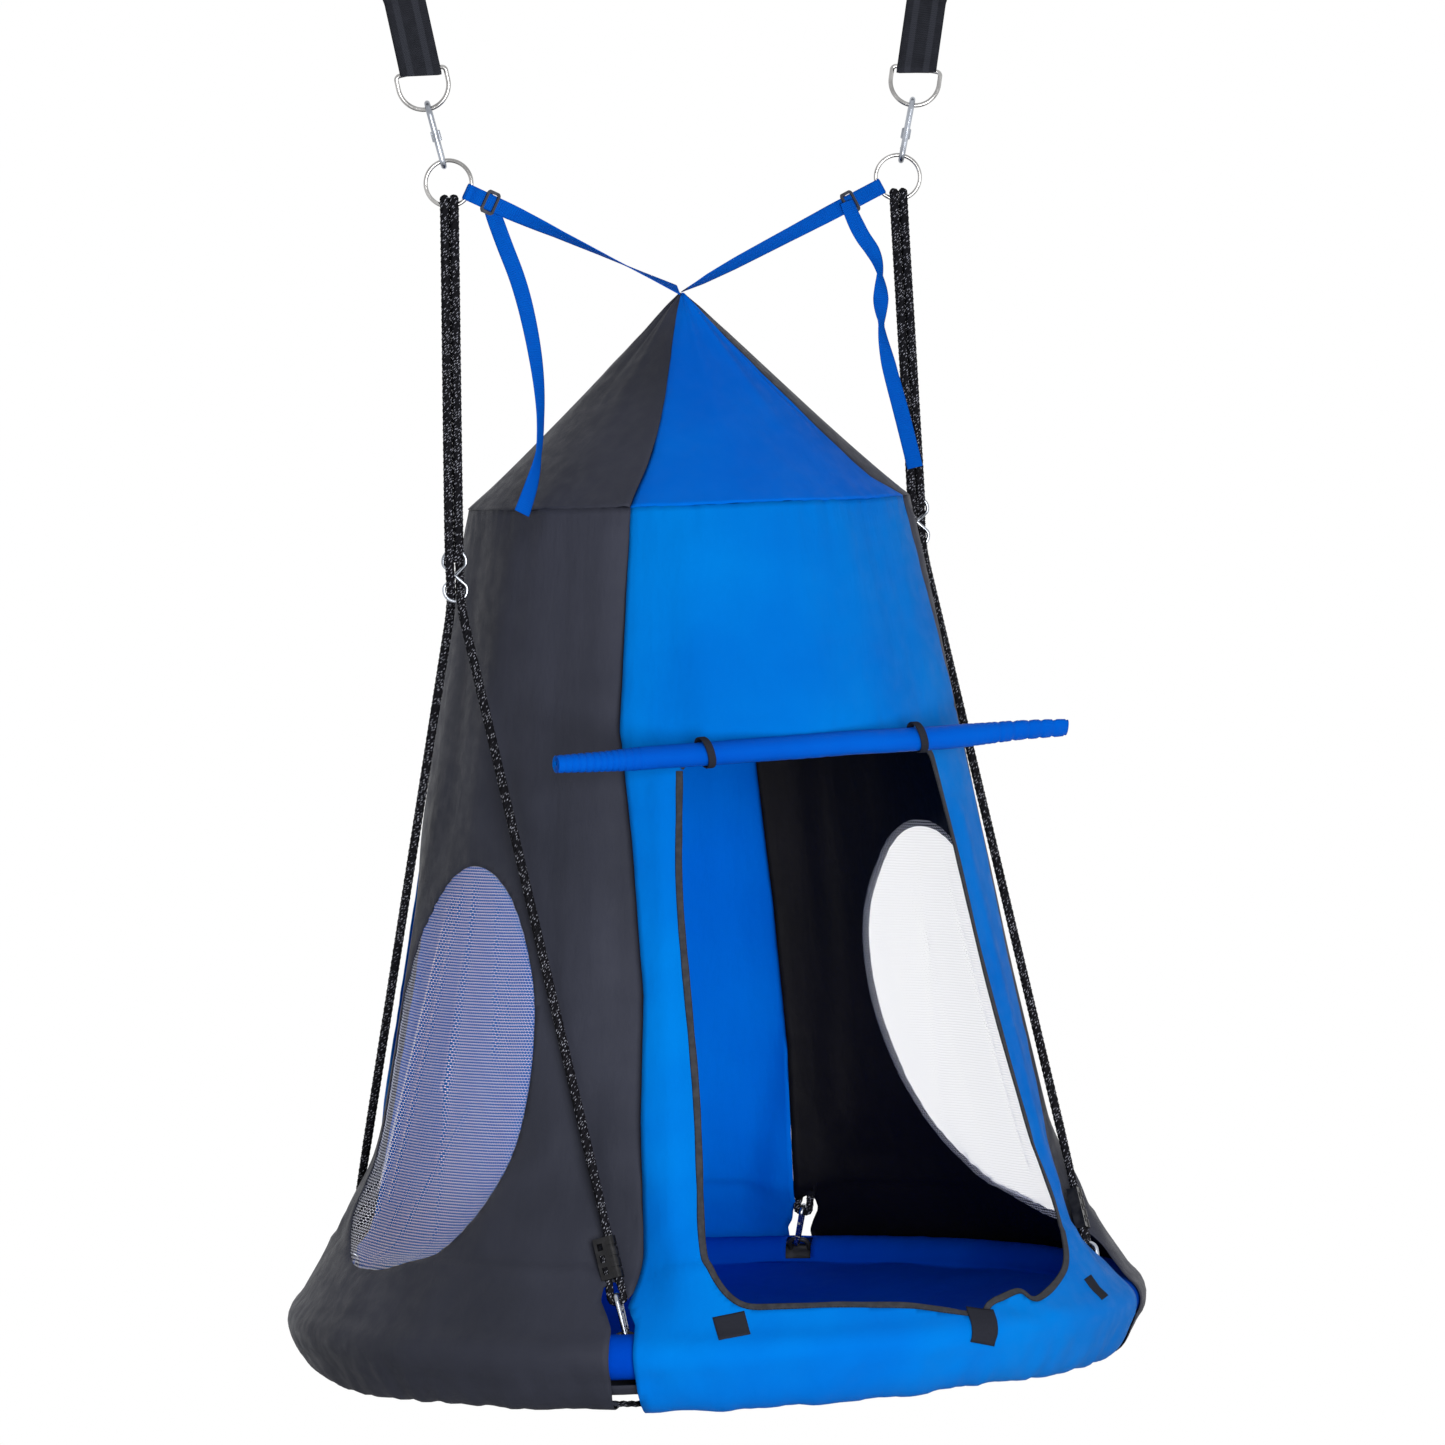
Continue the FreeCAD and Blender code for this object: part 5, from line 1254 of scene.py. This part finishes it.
def cut_faces(mesh, flat, outline, faces, within=True):
    """Takes out the faces that lie within the outline, or outside it, and gives the new edge."""
    gone = []
    for face in faces:
        xs, ys = zip(*(flat[v] for v in face.verts))
        if inside(sum(xs) / len(xs), sum(ys) / len(ys), outline) == within:
            gone.append(face)
    edge = {v for face in gone for v in face.verts}
    bmesh.ops.delete(mesh, geom=gone, context="FACES")
    return [v for v in edge if v.is_valid]


def make_wall(panel, outer, inner, area, opening):
    """One wall panel of the tent, from its rolled hem to the eave seam."""
    facing = math.radians(PANELS[panel])
    right, left = PANELS[panel] + 45, PANELS[panel] - 45
    columns = round(math.pi / 2 * MAP_RADIUS / GRID)
    mesh = bmesh.new()
    cells, _, uv = add_grid(mesh, columns, len(LINE) - 1)
    places = {}
    for vert, (column, row) in cells.items():
        rise = LINE[row].z
        first, last = seam_azimuth(left, rise), seam_azimuth(right, rise)
        places[vert] = first + (last - first) * column / columns, float(row)
    if opening:
        cut_opening(mesh, places, opening, facing)
    for corner in (left, right):
        way = -1 if corner % 360 in (225, 45) else 1
        outline = [Vector((x * way, y, 0)) for x, y in NOTCH]
        cut_opening(mesh, places, outline, math.radians(corner))
    lay_map(mesh.faces, uv, lambda v: ((places[v][0] - facing) * MAP_RADIUS, places[v][1] * GRID))
    for vert in mesh.verts:
        azimuth, row = places[vert]
        rise, radius = LINE[min(int(row), len(LINE) - 1)].z, line_at(row)[0].x
        ends = seam_azimuth(left, rise), seam_azimuth(right, rise)
        gap = min(azimuth - ends[0], ends[1] - azimuth) * radius
        vert.co = on_wall(panel, azimuth, row, max(gap, 0.0))
    turn_out(mesh, lambda face: face.normal.dot(Vector((*face.calc_center_median().xy, 0))))
    wall = new_piece(f"tent_{panel}", mesh, outer, inner)
    thicken(wall, CLOTH)
    settle(wall, "swing", f"wall_{panel}")


DOOR_EDGE = rounded_outline(DOOR)
# outside and inside finish, square metres left of the cloth and the opening cut in it
WALLS = {
    "front": ("blue_cloth", "blue_inside", 0.40, DOOR_EDGE),
    "back": ("blue_cloth", "blue_inside", 0.71, None),
    "left": ("grey_cloth", "grey_inside", 0.55, oval("left")),
    "right": ("grey_cloth", "grey_inside", 0.55, oval("right")),
}
for panel_name, wall_values in WALLS.items():
    make_wall(panel_name, *wall_values)


# ---------------------------------------------------------------- window nets

NET_WIDE, NET_TALL = 0.46, 0.54  # what it is cut from
NET_GRID = 0.005
NET_MARGIN = 0.009  # how far it reaches behind the wall
NET_FOLDS = {
    "left": [
        ((84, 0.58), (86, 0.30), 0.0055, 0.006), ((86, 0.30), (83, 0.10), 0.004, 0.004),
        ((92, 0.52), (108, 0.12), 0.008, 0.007), ((88, 0.55), (101, 0.16), 0.004, 0.004),
        ((78, 0.55), (74, 0.34), 0.0035, 0.004), ((79, 0.28), (96, 0.10), 0.004, 0.004),
        ((94, 0.18), (103, 0.09), 0.004, 0.003), ((73, 0.45), (70, 0.25), 0.004, 0.002),
    ],
    "right": [
        ((-88, 0.56), (-80, 0.14), 0.005, 0.005), ((-96, 0.54), (-104, 0.16), 0.005, 0.005),
        ((-78, 0.5), (-72, 0.2), 0.004, 0.004), ((-100, 0.5), (-92, 0.1), 0.004, 0.003),
    ],
}


def make_net(side):
    """The net of a window, sewn in behind its edge and hanging in long soft folds."""
    facing = math.radians(PANELS[side])
    outline = oval(side, NET_MARGIN)
    columns, rows = round(NET_WIDE / NET_GRID), round(NET_TALL / NET_GRID)
    mesh = bmesh.new()
    cells, _, uv = add_grid(mesh, columns, rows)
    places = {}
    for vert, (column, row) in cells.items():
        rise = WINDOW_MIDDLE.y + NET_TALL * (row / rows - 0.5)
        places[vert] = NET_WIDE * (column / columns - 0.5), rise
    for vert in cut_faces(mesh, places, outline, mesh.faces, within=False):
        spot, _ = nearest(*places[vert], outline)
        places[vert] = spot.x, spot.y
    lay_map(mesh.faces, uv, lambda v: places[v])
    for vert in mesh.verts:
        x, rise = places[vert]
        row = row_at(rise)
        point, normal = line_at(row)
        azimuth = facing + math.asin(x / point.x)
        away, _ = window_place(side, x, rise)
        free = ease(-away, -0.004, 0.05)
        drape = fold_lift(NET_FOLDS[side], azimuth, point.x, rise)
        drape += 0.0015 * soft_noise(x * 38, rise * 5, 3.0)
        out = lift(side, azimuth, row, 0.1) * (1 - free) - 0.0022 - free * 0.006 + drape * free
        vert.co = level(azimuth) * (point.x + normal.x * out) + UP * (point.z + normal.z * out + PLANE)
    bmesh.ops.recalc_face_normals(mesh, faces=mesh.faces)
    net = new_piece(f"net_{side}", mesh, "net")
    thicken(net, 0.0001, 0.0)
    settle(net, "swing", f"window_net_{side}")


for side_name in SIDES:
    make_net(side_name)


# ---------------------------------------------------------------- roof

ROOF_ROWS, ROOF_COLUMNS = 60, 64
TIP_RADIUS = 0.003  # of the gathered cloth
ROOF_FOLDS = {
    "front": [(0.62, 0.0035, 0.05), (0.45, -0.002, 0.07), (0.30, 0.003, 0.05), (0.83, 0.003, 0.05),
              (0.9, -0.003, 0.04)],
    "left": [(0.30, 0.003, 0.07), (0.5, -0.003, 0.06), (0.72, 0.0035, 0.06)],
    "back": [(0.25, 0.003, 0.06), (0.6, -0.003, 0.07), (0.8, 0.003, 0.05)],
    "right": [(0.2, 0.003, 0.06), (0.45, -0.003, 0.06), (0.7, 0.003, 0.06)],
}
# how far each corner seam turns about the middle, from the eave up, in degrees
ROOF_DRIFT = {
    225: [(0, -2.0), (0.06, -1.6), (0.2, 0.4), (0.35, 1.8), (0.5, 2.6), (0.7, 2.2), (0.85, 0.3), (1, -3.5)],
    315: [(0, -1.5), (0.03, -4.0), (0.1, -11.0), (0.3, -13.0), (0.6, -14.4), (0.85, -15.5), (1, -15.5)],
    45: [(0, 0), (0.5, 2.0), (1, 0)],
    135: [(0, 0), (0.5, -2.0), (1, 0)],
}


def on_roof(panel, across, up):
    """A place on a roof panel; across and up run from 0 to 1."""
    corner = PANELS[panel] - 45
    drift = between(up, ROOF_DRIFT[(corner if across < 0.5 else corner + 90) % 360])
    azimuth = math.radians(corner + 90 * across + drift * abs(1 - 2 * across) ** 3)
    radius = EAVE_RADIUS * (1 - up) + TIP_RADIUS * up
    rise = EAVE_RISE + (APEX_RISE - EAVE_RISE) * up
    rise -= 0.007 * math.sin(math.pi * up) * (4 * across * (1 - across))  # pulled between its seams
    seed = PANELS[panel] / 90 + 21
    gap = min(across, 1 - across) * math.pi / 2 * radius
    out = -0.0016 * bell(gap, 0.006)
    out += 0.0010 * fade(gap, 0.014) * soft_noise(up * 14, across, seed)
    for place, depth, width in ROOF_FOLDS[panel]:
        out += depth * bell(across - place, width) * ease(up, 0.15, 0.75) * (1 - up * 0.6)
    out += 0.0022 * soft_noise(azimuth * 5, up * 2.2, seed + 1) * (1 - up)
    out += fade(up, 0.07) * (0.0018 * soft_noise(azimuth * 27, up * 8, seed + 2) + 0.0010)
    out += 0.0012 * fade(1 - up, 0.12) * soft_noise(azimuth * 9, up * 6, seed + 3) * (1 - up) * 6
    slope = math.atan2(APEX_RISE - EAVE_RISE, EAVE_RADIUS - TIP_RADIUS)
    radius = max(radius + out * math.sin(slope), 0.0012)
    return level(azimuth) * radius + UP * (rise + out * math.cos(slope) + PLANE)


def make_roof(panel, colour, outer):
    """One roof panel, gathered to the tip and sewn to its wall at the eave."""
    mesh = bmesh.new()
    cells, faces, uv = add_grid(mesh, ROOF_COLUMNS, ROOF_ROWS)
    places = {vert: (column / ROOF_COLUMNS, row / ROOF_ROWS) for vert, (column, row) in cells.items()}
    wide, long = EAVE_RADIUS * math.pi / 2, math.hypot(EAVE_RADIUS, APEX_RISE - EAVE_RISE)
    lay_map(faces, uv, lambda v: ((places[v][0] - 0.5) * wide * (1 - places[v][1]), long * places[v][1]))
    for vert, (across, up) in places.items():
        vert.co = on_roof(panel, across, up)
    turn_out(mesh, lambda face: face.normal.z)
    roof = new_piece(f"roof_{panel}", mesh, outer, f"{colour}_inside")
    thicken(roof, CLOTH)
    settle(roof, "swing", f"roof_{colour}")


for panel_name in PANELS:
    if panel_name in SIDES:
        make_roof(panel_name, "grey", "grey_cloth")
    else:
        # The blue roof panels take the darker copy of the wall cloth: painted shade.
        make_roof(panel_name, "blue", "roof_cloth_painted_shade")


# ---------------------------------------------------------------- seat

SEAT_SAG = 0.034
SEAT_FLAT = 0.3  # inside this radius the seat shows which way its cloth faces
SLOT_HALF = 0.014
STAPLE_GAP, FOAM = 0.044, 0.0074
UNDER_GAP = 0.0035  # from the seat's cloth to the one under it
# radius and rise of the underside's lip, round the foot of the ring
UNDER_LIP = [(0.425, -0.018), (0.462, -0.028), (0.483, -0.043), (0.496, -0.0455), (0.506, -0.040),
             (0.510, -0.032)]


def ring_noise(azimuth, often, height, seed):
    """Noise that closes on itself round the ring."""
    return noise.noise(Vector((math.cos(azimuth) * often, math.sin(azimuth) * often, height + seed * 7.31)))


def revolve(mesh, line, turns):
    """Lays a grid on a line of (radius, rise) turned about the middle; gives its cells."""
    cells, faces, uv = add_grid(mesh, turns, len(line) - 1)
    run = run_marks(line)
    lay_map(faces, uv, lambda v: (math.tau * cells[v][0] / turns * MAP_RADIUS, run[cells[v][1]]))
    return cells


def close_disc(mesh, cells, turns, rise, way):
    """Gathers a turned cloth's first row at its middle, joins its ends and faces it up or down."""
    hub = [v for v in mesh.verts if cells[v][1] == 0]
    bmesh.ops.pointmerge(mesh, verts=hub, merge_co=UP * (rise + PLANE))
    seam = [v for v in mesh.verts if cells.get(v, (1, 1))[0] in (0, turns)]
    bmesh.ops.remove_doubles(mesh, verts=seam, dist=1e-5)
    turn_out(mesh, lambda face: way * face.normal.z * (face.calc_center_median().xy.length < SEAT_FLAT))


def ring_frame(azimuth, radius, rise=0.0):
    """A frame on a level circle about the middle, whose Z runs along it."""
    outward = level(azimuth)
    return placement(outward * radius + UP * (rise + PLANE), UP, UP.cross(outward))


def seat_rise(radius, edge):
    return (SEAT_SAG - 0.005) * (radius / edge) ** 2 - SEAT_SAG


def make_seat():
    """The seat's cloth, sewn to the cover that wraps the padded ring."""
    edge, turns, seat_rows, cover_steps = RING - COVER - 0.0005, 360, 44, 40
    radii = [edge * k / seat_rows for k in range(1, seat_rows + 1)]
    line = [Vector((radius, 0, seat_rise(radius, edge))) for radius in radii]
    for k in range(cover_steps + 1):
        arm = level(math.radians(190 - 360 * k / cover_steps)) * COVER
        line.append(Vector((RING + arm.x, 0, arm.y)))
    mesh = bmesh.new()
    cells = revolve(mesh, line, turns)
    slots = []
    for face in mesh.faces:
        columns, rows = zip(*(cells[v] for v in face.verts))
        around = (sum(columns) / 4 * 360 / turns) % 90 - 45
        if abs(math.radians(around) * RING) < SLOT_HALF and 1 < sum(rows) / 4 - seat_rows < 10:
            slots.append(face)
    bmesh.ops.delete(mesh, geom=slots, context="FACES")
    for vert in mesh.verts:
        column, row = cells[vert]
        azimuth = math.tau * column / turns
        spot = line[row]
        if row < seat_rows:
            share = row / seat_rows
            fold = ring_noise(azimuth, 6, share * 2, 31) * 0.003 * ease(share, 0.5, 0.9)
            flat = level(azimuth) * (spot.x * 9)
            spot = spot + UP * (fold + 0.002 * soft_noise(flat.x, flat.y, 32))
        else:
            arm = (spot - Vector((RING, 0, 0))).normalized()
            wrinkle = 0.0009 * ring_noise(azimuth, 40, row * 0.18, 33)
            spot = spot + arm * (wrinkle + 0.0008 * ring_noise(azimuth, 9, row * 0.1, 34))
        vert.co = level(azimuth) * spot.x + UP * (spot.z + PLANE)
    close_disc(mesh, cells, turns, seat_rise(0, edge), 1)
    seat = new_piece("ring_cover", mesh, "seat_cloth")
    thicken(seat, CLOTH)
    settle(seat, "swing", "seat_cover")


def make_underside():
    """The dark cloth under the seat, drawn up round the foot of the ring."""
    edge, turns, seat_rows, flat_rows = RING - COVER, 240, 30, 24
    radii = [edge * k / seat_rows for k in range(1, flat_rows + 1)]
    line = [Vector((radius, 0, seat_rise(radius, edge) - UNDER_GAP)) for radius in radii]
    lip = [Vector((radius, 0, rise)) for radius, rise in UNDER_LIP]
    line += spaced(read_line("lip", [line[-1], *lip]), 0.006)[1:]
    mesh = bmesh.new()
    cells = revolve(mesh, line, turns)
    for vert in mesh.verts:
        column, row = cells[vert]
        azimuth = math.tau * column / turns
        out = 0.0012 * ring_noise(azimuth, 14, row * 0.1, 41) * ease(row, 20, 30)
        vert.co = level(azimuth) * line[row].x + UP * (line[row].z + out + PLANE)
    close_disc(mesh, cells, turns, -SEAT_SAG - UNDER_GAP, -1)
    under = new_piece("seat_bottom", mesh, "grey_cloth")
    thicken(under, CLOTH)
    settle(under, "swing", "seat_underside")


def make_foam():
    """Split foam sleeves on the tube, one between each pair of staples."""
    mesh = bmesh.new()
    gap, steps = STAPLE_GAP / RING, 60
    for start in (45, 135, 225, 315):
        first = math.radians(start) + gap / 2
        frames = [ring_frame(first + (math.pi / 2 - gap) * k / steps, RING) for k in range(steps + 1)]
        sweep(mesh, round_section(TUBE + 0.0004 + FOAM, 24), frames)
    bmesh.ops.recalc_face_normals(mesh, faces=mesh.faces)
    foam = new_piece("foam_padding", mesh, "foam")
    settle(foam, "swing", "foam_sleeves")


def make_drawcord():
    """The hem's drawcord, laid of three strands."""
    mesh = bmesh.new()
    radius, strands, turns, steps = 0.004, 3, 98, 980
    thick = radius * 0.53
    aside = Matrix.Translation((radius - thick, 0, 0))
    for strand in range(strands):
        frames = []
        for k in range(steps):
            twist = Matrix.Rotation(math.tau * (k * turns / steps + strand / strands), 4, "Z")
            frames.append(ring_frame(math.tau * k / steps, HEM_RADIUS, HEM_RISE) @ twist @ aside)
        sweep(mesh, round_section(thick, 7), frames, closed=True)
    bmesh.ops.recalc_face_normals(mesh, faces=mesh.faces)
    cord = new_piece("drawcord", mesh, "rope")
    settle(cord, "swing", "hem_drawcord")


make_seat()
make_underside()
make_foam()
make_drawcord()


# ---------------------------------------------------------------- door

BINDING, BINDING_THICK = 0.0085, 0.0024


def make_binding():
    """Dark tape folded over the raw edge of the door."""
    start = next(i for i, p in enumerate(DOOR_EDGE) if p.y < 0.672)
    order = DOOR_EDGE[start:] + DOOR_EDGE[:start]
    facing = math.radians(PANELS["front"])
    line, normals = [], []
    for p in order:
        if p.y < 0.685:
            row = row_at(p.y)
            base, normal = line_at(row)
            azimuth = facing + math.asin(p.x / base.x)
            line.append(on_wall("front", azimuth, row))
            normals.append(level(azimuth) * normal.x + UP * normal.z)
    frames = []
    for k, (point, normal, along) in enumerate(zip(line, normals, tangents(line))):
        roll = Matrix.Rotation(0.35 * soft_noise(k * 0.07, 0, 51), 4, "Z")
        swell = Matrix.Diagonal((1 + 0.14 * soft_noise(k * 0.11, 4, 52), 1.0, 1.0, 1.0))
        frames.append(placement(point, along.cross(normal), along) @ roll @ swell)
    section, marks = ribbon_section(BINDING, BINDING_THICK, 8, 0.5)
    binding = swept_piece("door_tape", section, frames, "tape", marks=marks)
    settle(binding, "swing", "door_binding")


ROLL_LEFT, ROLL_RIGHT = Vector((-0.378, -0.2939, 0.691)), Vector((0.288, -0.3779, 0.701))
# radius by distance from the left end, and how flat the roll is pressed there
ROLL_RADIUS = [(0, 0.0108), (0.06, 0.0125), (0.10, 0.0145), (0.2, 0.0150), (0.42, 0.0152), (0.52, 0.0145),
               (0.60, 0.0120), (0.672, 0.0092)]
ROLL_PRESSED = [(0, 1.0), (0.45, 1.0), (0.58, 1.2), (0.672, 1.9)]
ROLL_ROWS = [(0, 0.0), (90, 0.11), (176, 0.54), (236, 0.6721)]  # closer rows where it is creased
ROLL_TURNS, ROLL_CORE, ROLL_CLOTH = 8.6, 0.30, 0.00045
ROLL_LOOK = 0.0145  # radius that the map of the turns is laid at


def roll_frame():
    origin = ROLL_LEFT + UP * PLANE
    run = ROLL_RIGHT - ROLL_LEFT
    return placement(origin, UP, run), run.length


def spiral(count):
    """Rolled cloth seen on its end, from the core out to where it leaves for the wall."""
    last, fine = math.radians(270), 2000
    points = []
    for k in range(fine + 1):
        turn = last - math.tau * ROLL_TURNS * (1 - k / fine)
        points.append(level(turn) * (ROLL_CORE + (1 - ROLL_CORE) * k / fine))
    run = run_marks(points)
    found, k = [], 0
    for i in range(count + 1):
        while k < fine and run[k] < run[-1] * i / count:
            k += 1
        found.append(points[k])
    return found, run[-1]


def roll_shape(reach):
    """Scale, turn and drift of the roll's section that far from its left end."""
    size, pressed = between(reach, ROLL_RADIUS), between(reach, ROLL_PRESSED)
    crease = bell(reach - 0.045, 0.05) * 0.55 + 0.12
    pleat = max(0.0, math.sin(math.tau * reach / 0.0085 + 2 * soft_noise(reach * 30, 0, 61)))
    size *= 1 - 0.26 * crease * pleat ** 4 + 0.02 * soft_noise(reach * 25, 1, 63)
    late = ease(reach, 0.54, 0.62)
    pleat = max(0.0, math.sin(math.tau * reach / 0.018 + 3 * soft_noise(reach * 20, 0, 62)))
    size *= 1 - 0.16 * late * pleat ** 4
    drift = (0.0015 * soft_noise(reach * 9, 0, 64), 0.0012 * soft_noise(reach * 9, 0, 65), reach)
    turn = Matrix.Rotation(0.25 * soft_noise(reach * 5, 0, 66) + late * 0.35, 4, "Z")
    scale = Matrix.Diagonal((size * (1 + (pressed - 1) * 0.35), size / pressed, 1, 1))
    return Matrix.Translation(drift) @ turn @ scale


def make_roll():
    """The door rolled up on itself, creased round at the left and pressed flat at the right."""
    place, _ = roll_frame()
    columns, rows = 104, ROLL_ROWS[-1][0]
    section, turned = spiral(columns)
    mesh = bmesh.new()
    cells, faces, uv = add_grid(mesh, columns, rows)
    steps = [between(row, ROLL_ROWS) for row in range(rows + 1)]
    shapes = [place @ roll_shape(reach) for reach in steps]
    lay_map(faces, uv, lambda v: (cells[v][0] / columns * turned * ROLL_LOOK, steps[cells[v][1]]))
    for vert, (column, row) in cells.items():
        vert.co = shapes[row] @ section[column]
    bmesh.ops.recalc_face_normals(mesh, faces=mesh.faces)
    outer = next(v for v, cell in cells.items() if cell == (columns - 5, rows // 2))
    if outer.normal.dot(outer.co - place @ Vector((0, 0, steps[rows // 2]))) < 0:
        bmesh.ops.reverse_faces(mesh, faces=mesh.faces)
    # Its outer face takes the darkened copy of the door's cloth: painted shade.
    roll = new_piece("rolled_door", mesh, "roll_cloth_painted_shade", "blue_inside")
    thicken(roll, ROLL_CLOTH)
    settle(roll, "swing", "door_roll")


TIE_SHARES = (0.278, 0.694)
TIE_WIDE, TIE_THICK = 0.0100, 0.0020


def make_ties():
    """Two loops of dark tape round the rolled door."""
    place, long = roll_frame()
    mesh = bmesh.new()
    section, marks = ribbon_section(TIE_WIDE, TIE_THICK)
    steps = 48
    for share in TIE_SHARES:
        frames = []
        for k in range(steps):
            out = level(math.tau * k / steps)
            reach = 0.0168 + 0.0022 * max(out.x, 0) + 0.0005 * soft_noise(out.x, out.y, 71)
            point = out * reach + UP * (long * share + 0.0055 - 0.004 * out.x)
            frames.append(place @ placement(point, UP, UP.cross(out)))
        sweep(mesh, section, frames, closed=True, marks=marks)
    bmesh.ops.recalc_face_normals(mesh, faces=mesh.faces)
    ties = new_piece("door_ties", mesh, "hook_tape")
    settle(ties, "swing", "roll_ties")


PATCH_EDGE = 0.0006
# across from the door's middle as seen square on, rise, tilt, length, height, lift off the wall
PATCHES = [
    (-0.254, 0.033, 11, 0.038, 0.031, 0.0016),
    (0.262, 0.030, 8, 0.024, 0.032, 0.0016),
    (0.042, 0.0145, -14, 0.037, 0.046, 0.0034),
]


def make_patches():
    """Hook-and-loop on the sill: a sewn patch at the left and right, and a tab."""
    mesh = bmesh.new()
    facing, cells_wide = math.radians(PANELS["front"]), 12
    for across, rise, tilt, length, height, proud in PATCHES:
        cells, faces, uv = add_grid(mesh, cells_wide, cells_wide)
        places = {v: (column / cells_wide, row / cells_wide) for v, (column, row) in cells.items()}
        lay_map(faces, uv, lambda v: (places[v][0] * length, places[v][1] * height))
        base_row = row_at(rise)
        centre = facing + math.asin(across / line_at(base_row)[0].x)
        cosine, sine = math.cos(math.radians(tilt)), math.sin(math.radians(tilt))
        for vert, shares in places.items():
            x, y = (shares[0] - 0.5) * length, (shares[1] - 0.5) * height
            row = base_row + (x * sine + y * cosine) / GRID
            point, normal = line_at(row)
            azimuth = centre + (x * cosine - y * sine) / point.x
            out = level(azimuth) * normal.x + UP * normal.z
            sunk = PATCH_EDGE if {0.0, 1.0}.intersection(shares) else 0
            vert.co = on_wall("front", azimuth, row) + out * (proud - sunk)
    turn_out(mesh, lambda face: -face.normal.y)
    patches = new_piece("door_patches", mesh, "hook_tape")
    thicken(patches, 0.0015)
    settle(patches, "swing", "closure_patches")


make_binding()
make_roll()
make_ties()
make_patches()


# ---------------------------------------------------------------- CAD pieces that stay

NODE_FINISH = {
    "d_ring": "nickel", "rope_ring": "nickel", "top_hook": "zinc", "top_gate": "zinc",
    "screw_sleeve": "zinc", "figure_eight_link": "zinc", "seat_hook": "zinc", "seat_gate": "zinc",
    "gate_pins": "zinc", "rope_adjuster": "black_plastic", "slide_buckle": "buckle_plastic",
    "ring_tube": "tube_paint", "ring_couplers": "tube_paint", "eave_hoop": "rod",
}
for node_name, node_piece in frame["nodes"].items():
    for start_of_name, finish_name in NODE_FINISH.items():
        if node_name.startswith(start_of_name):
            node_piece.data.materials.clear()
            node_piece.data.materials.append(FINISH[finish_name])

light_world()
make_floor()
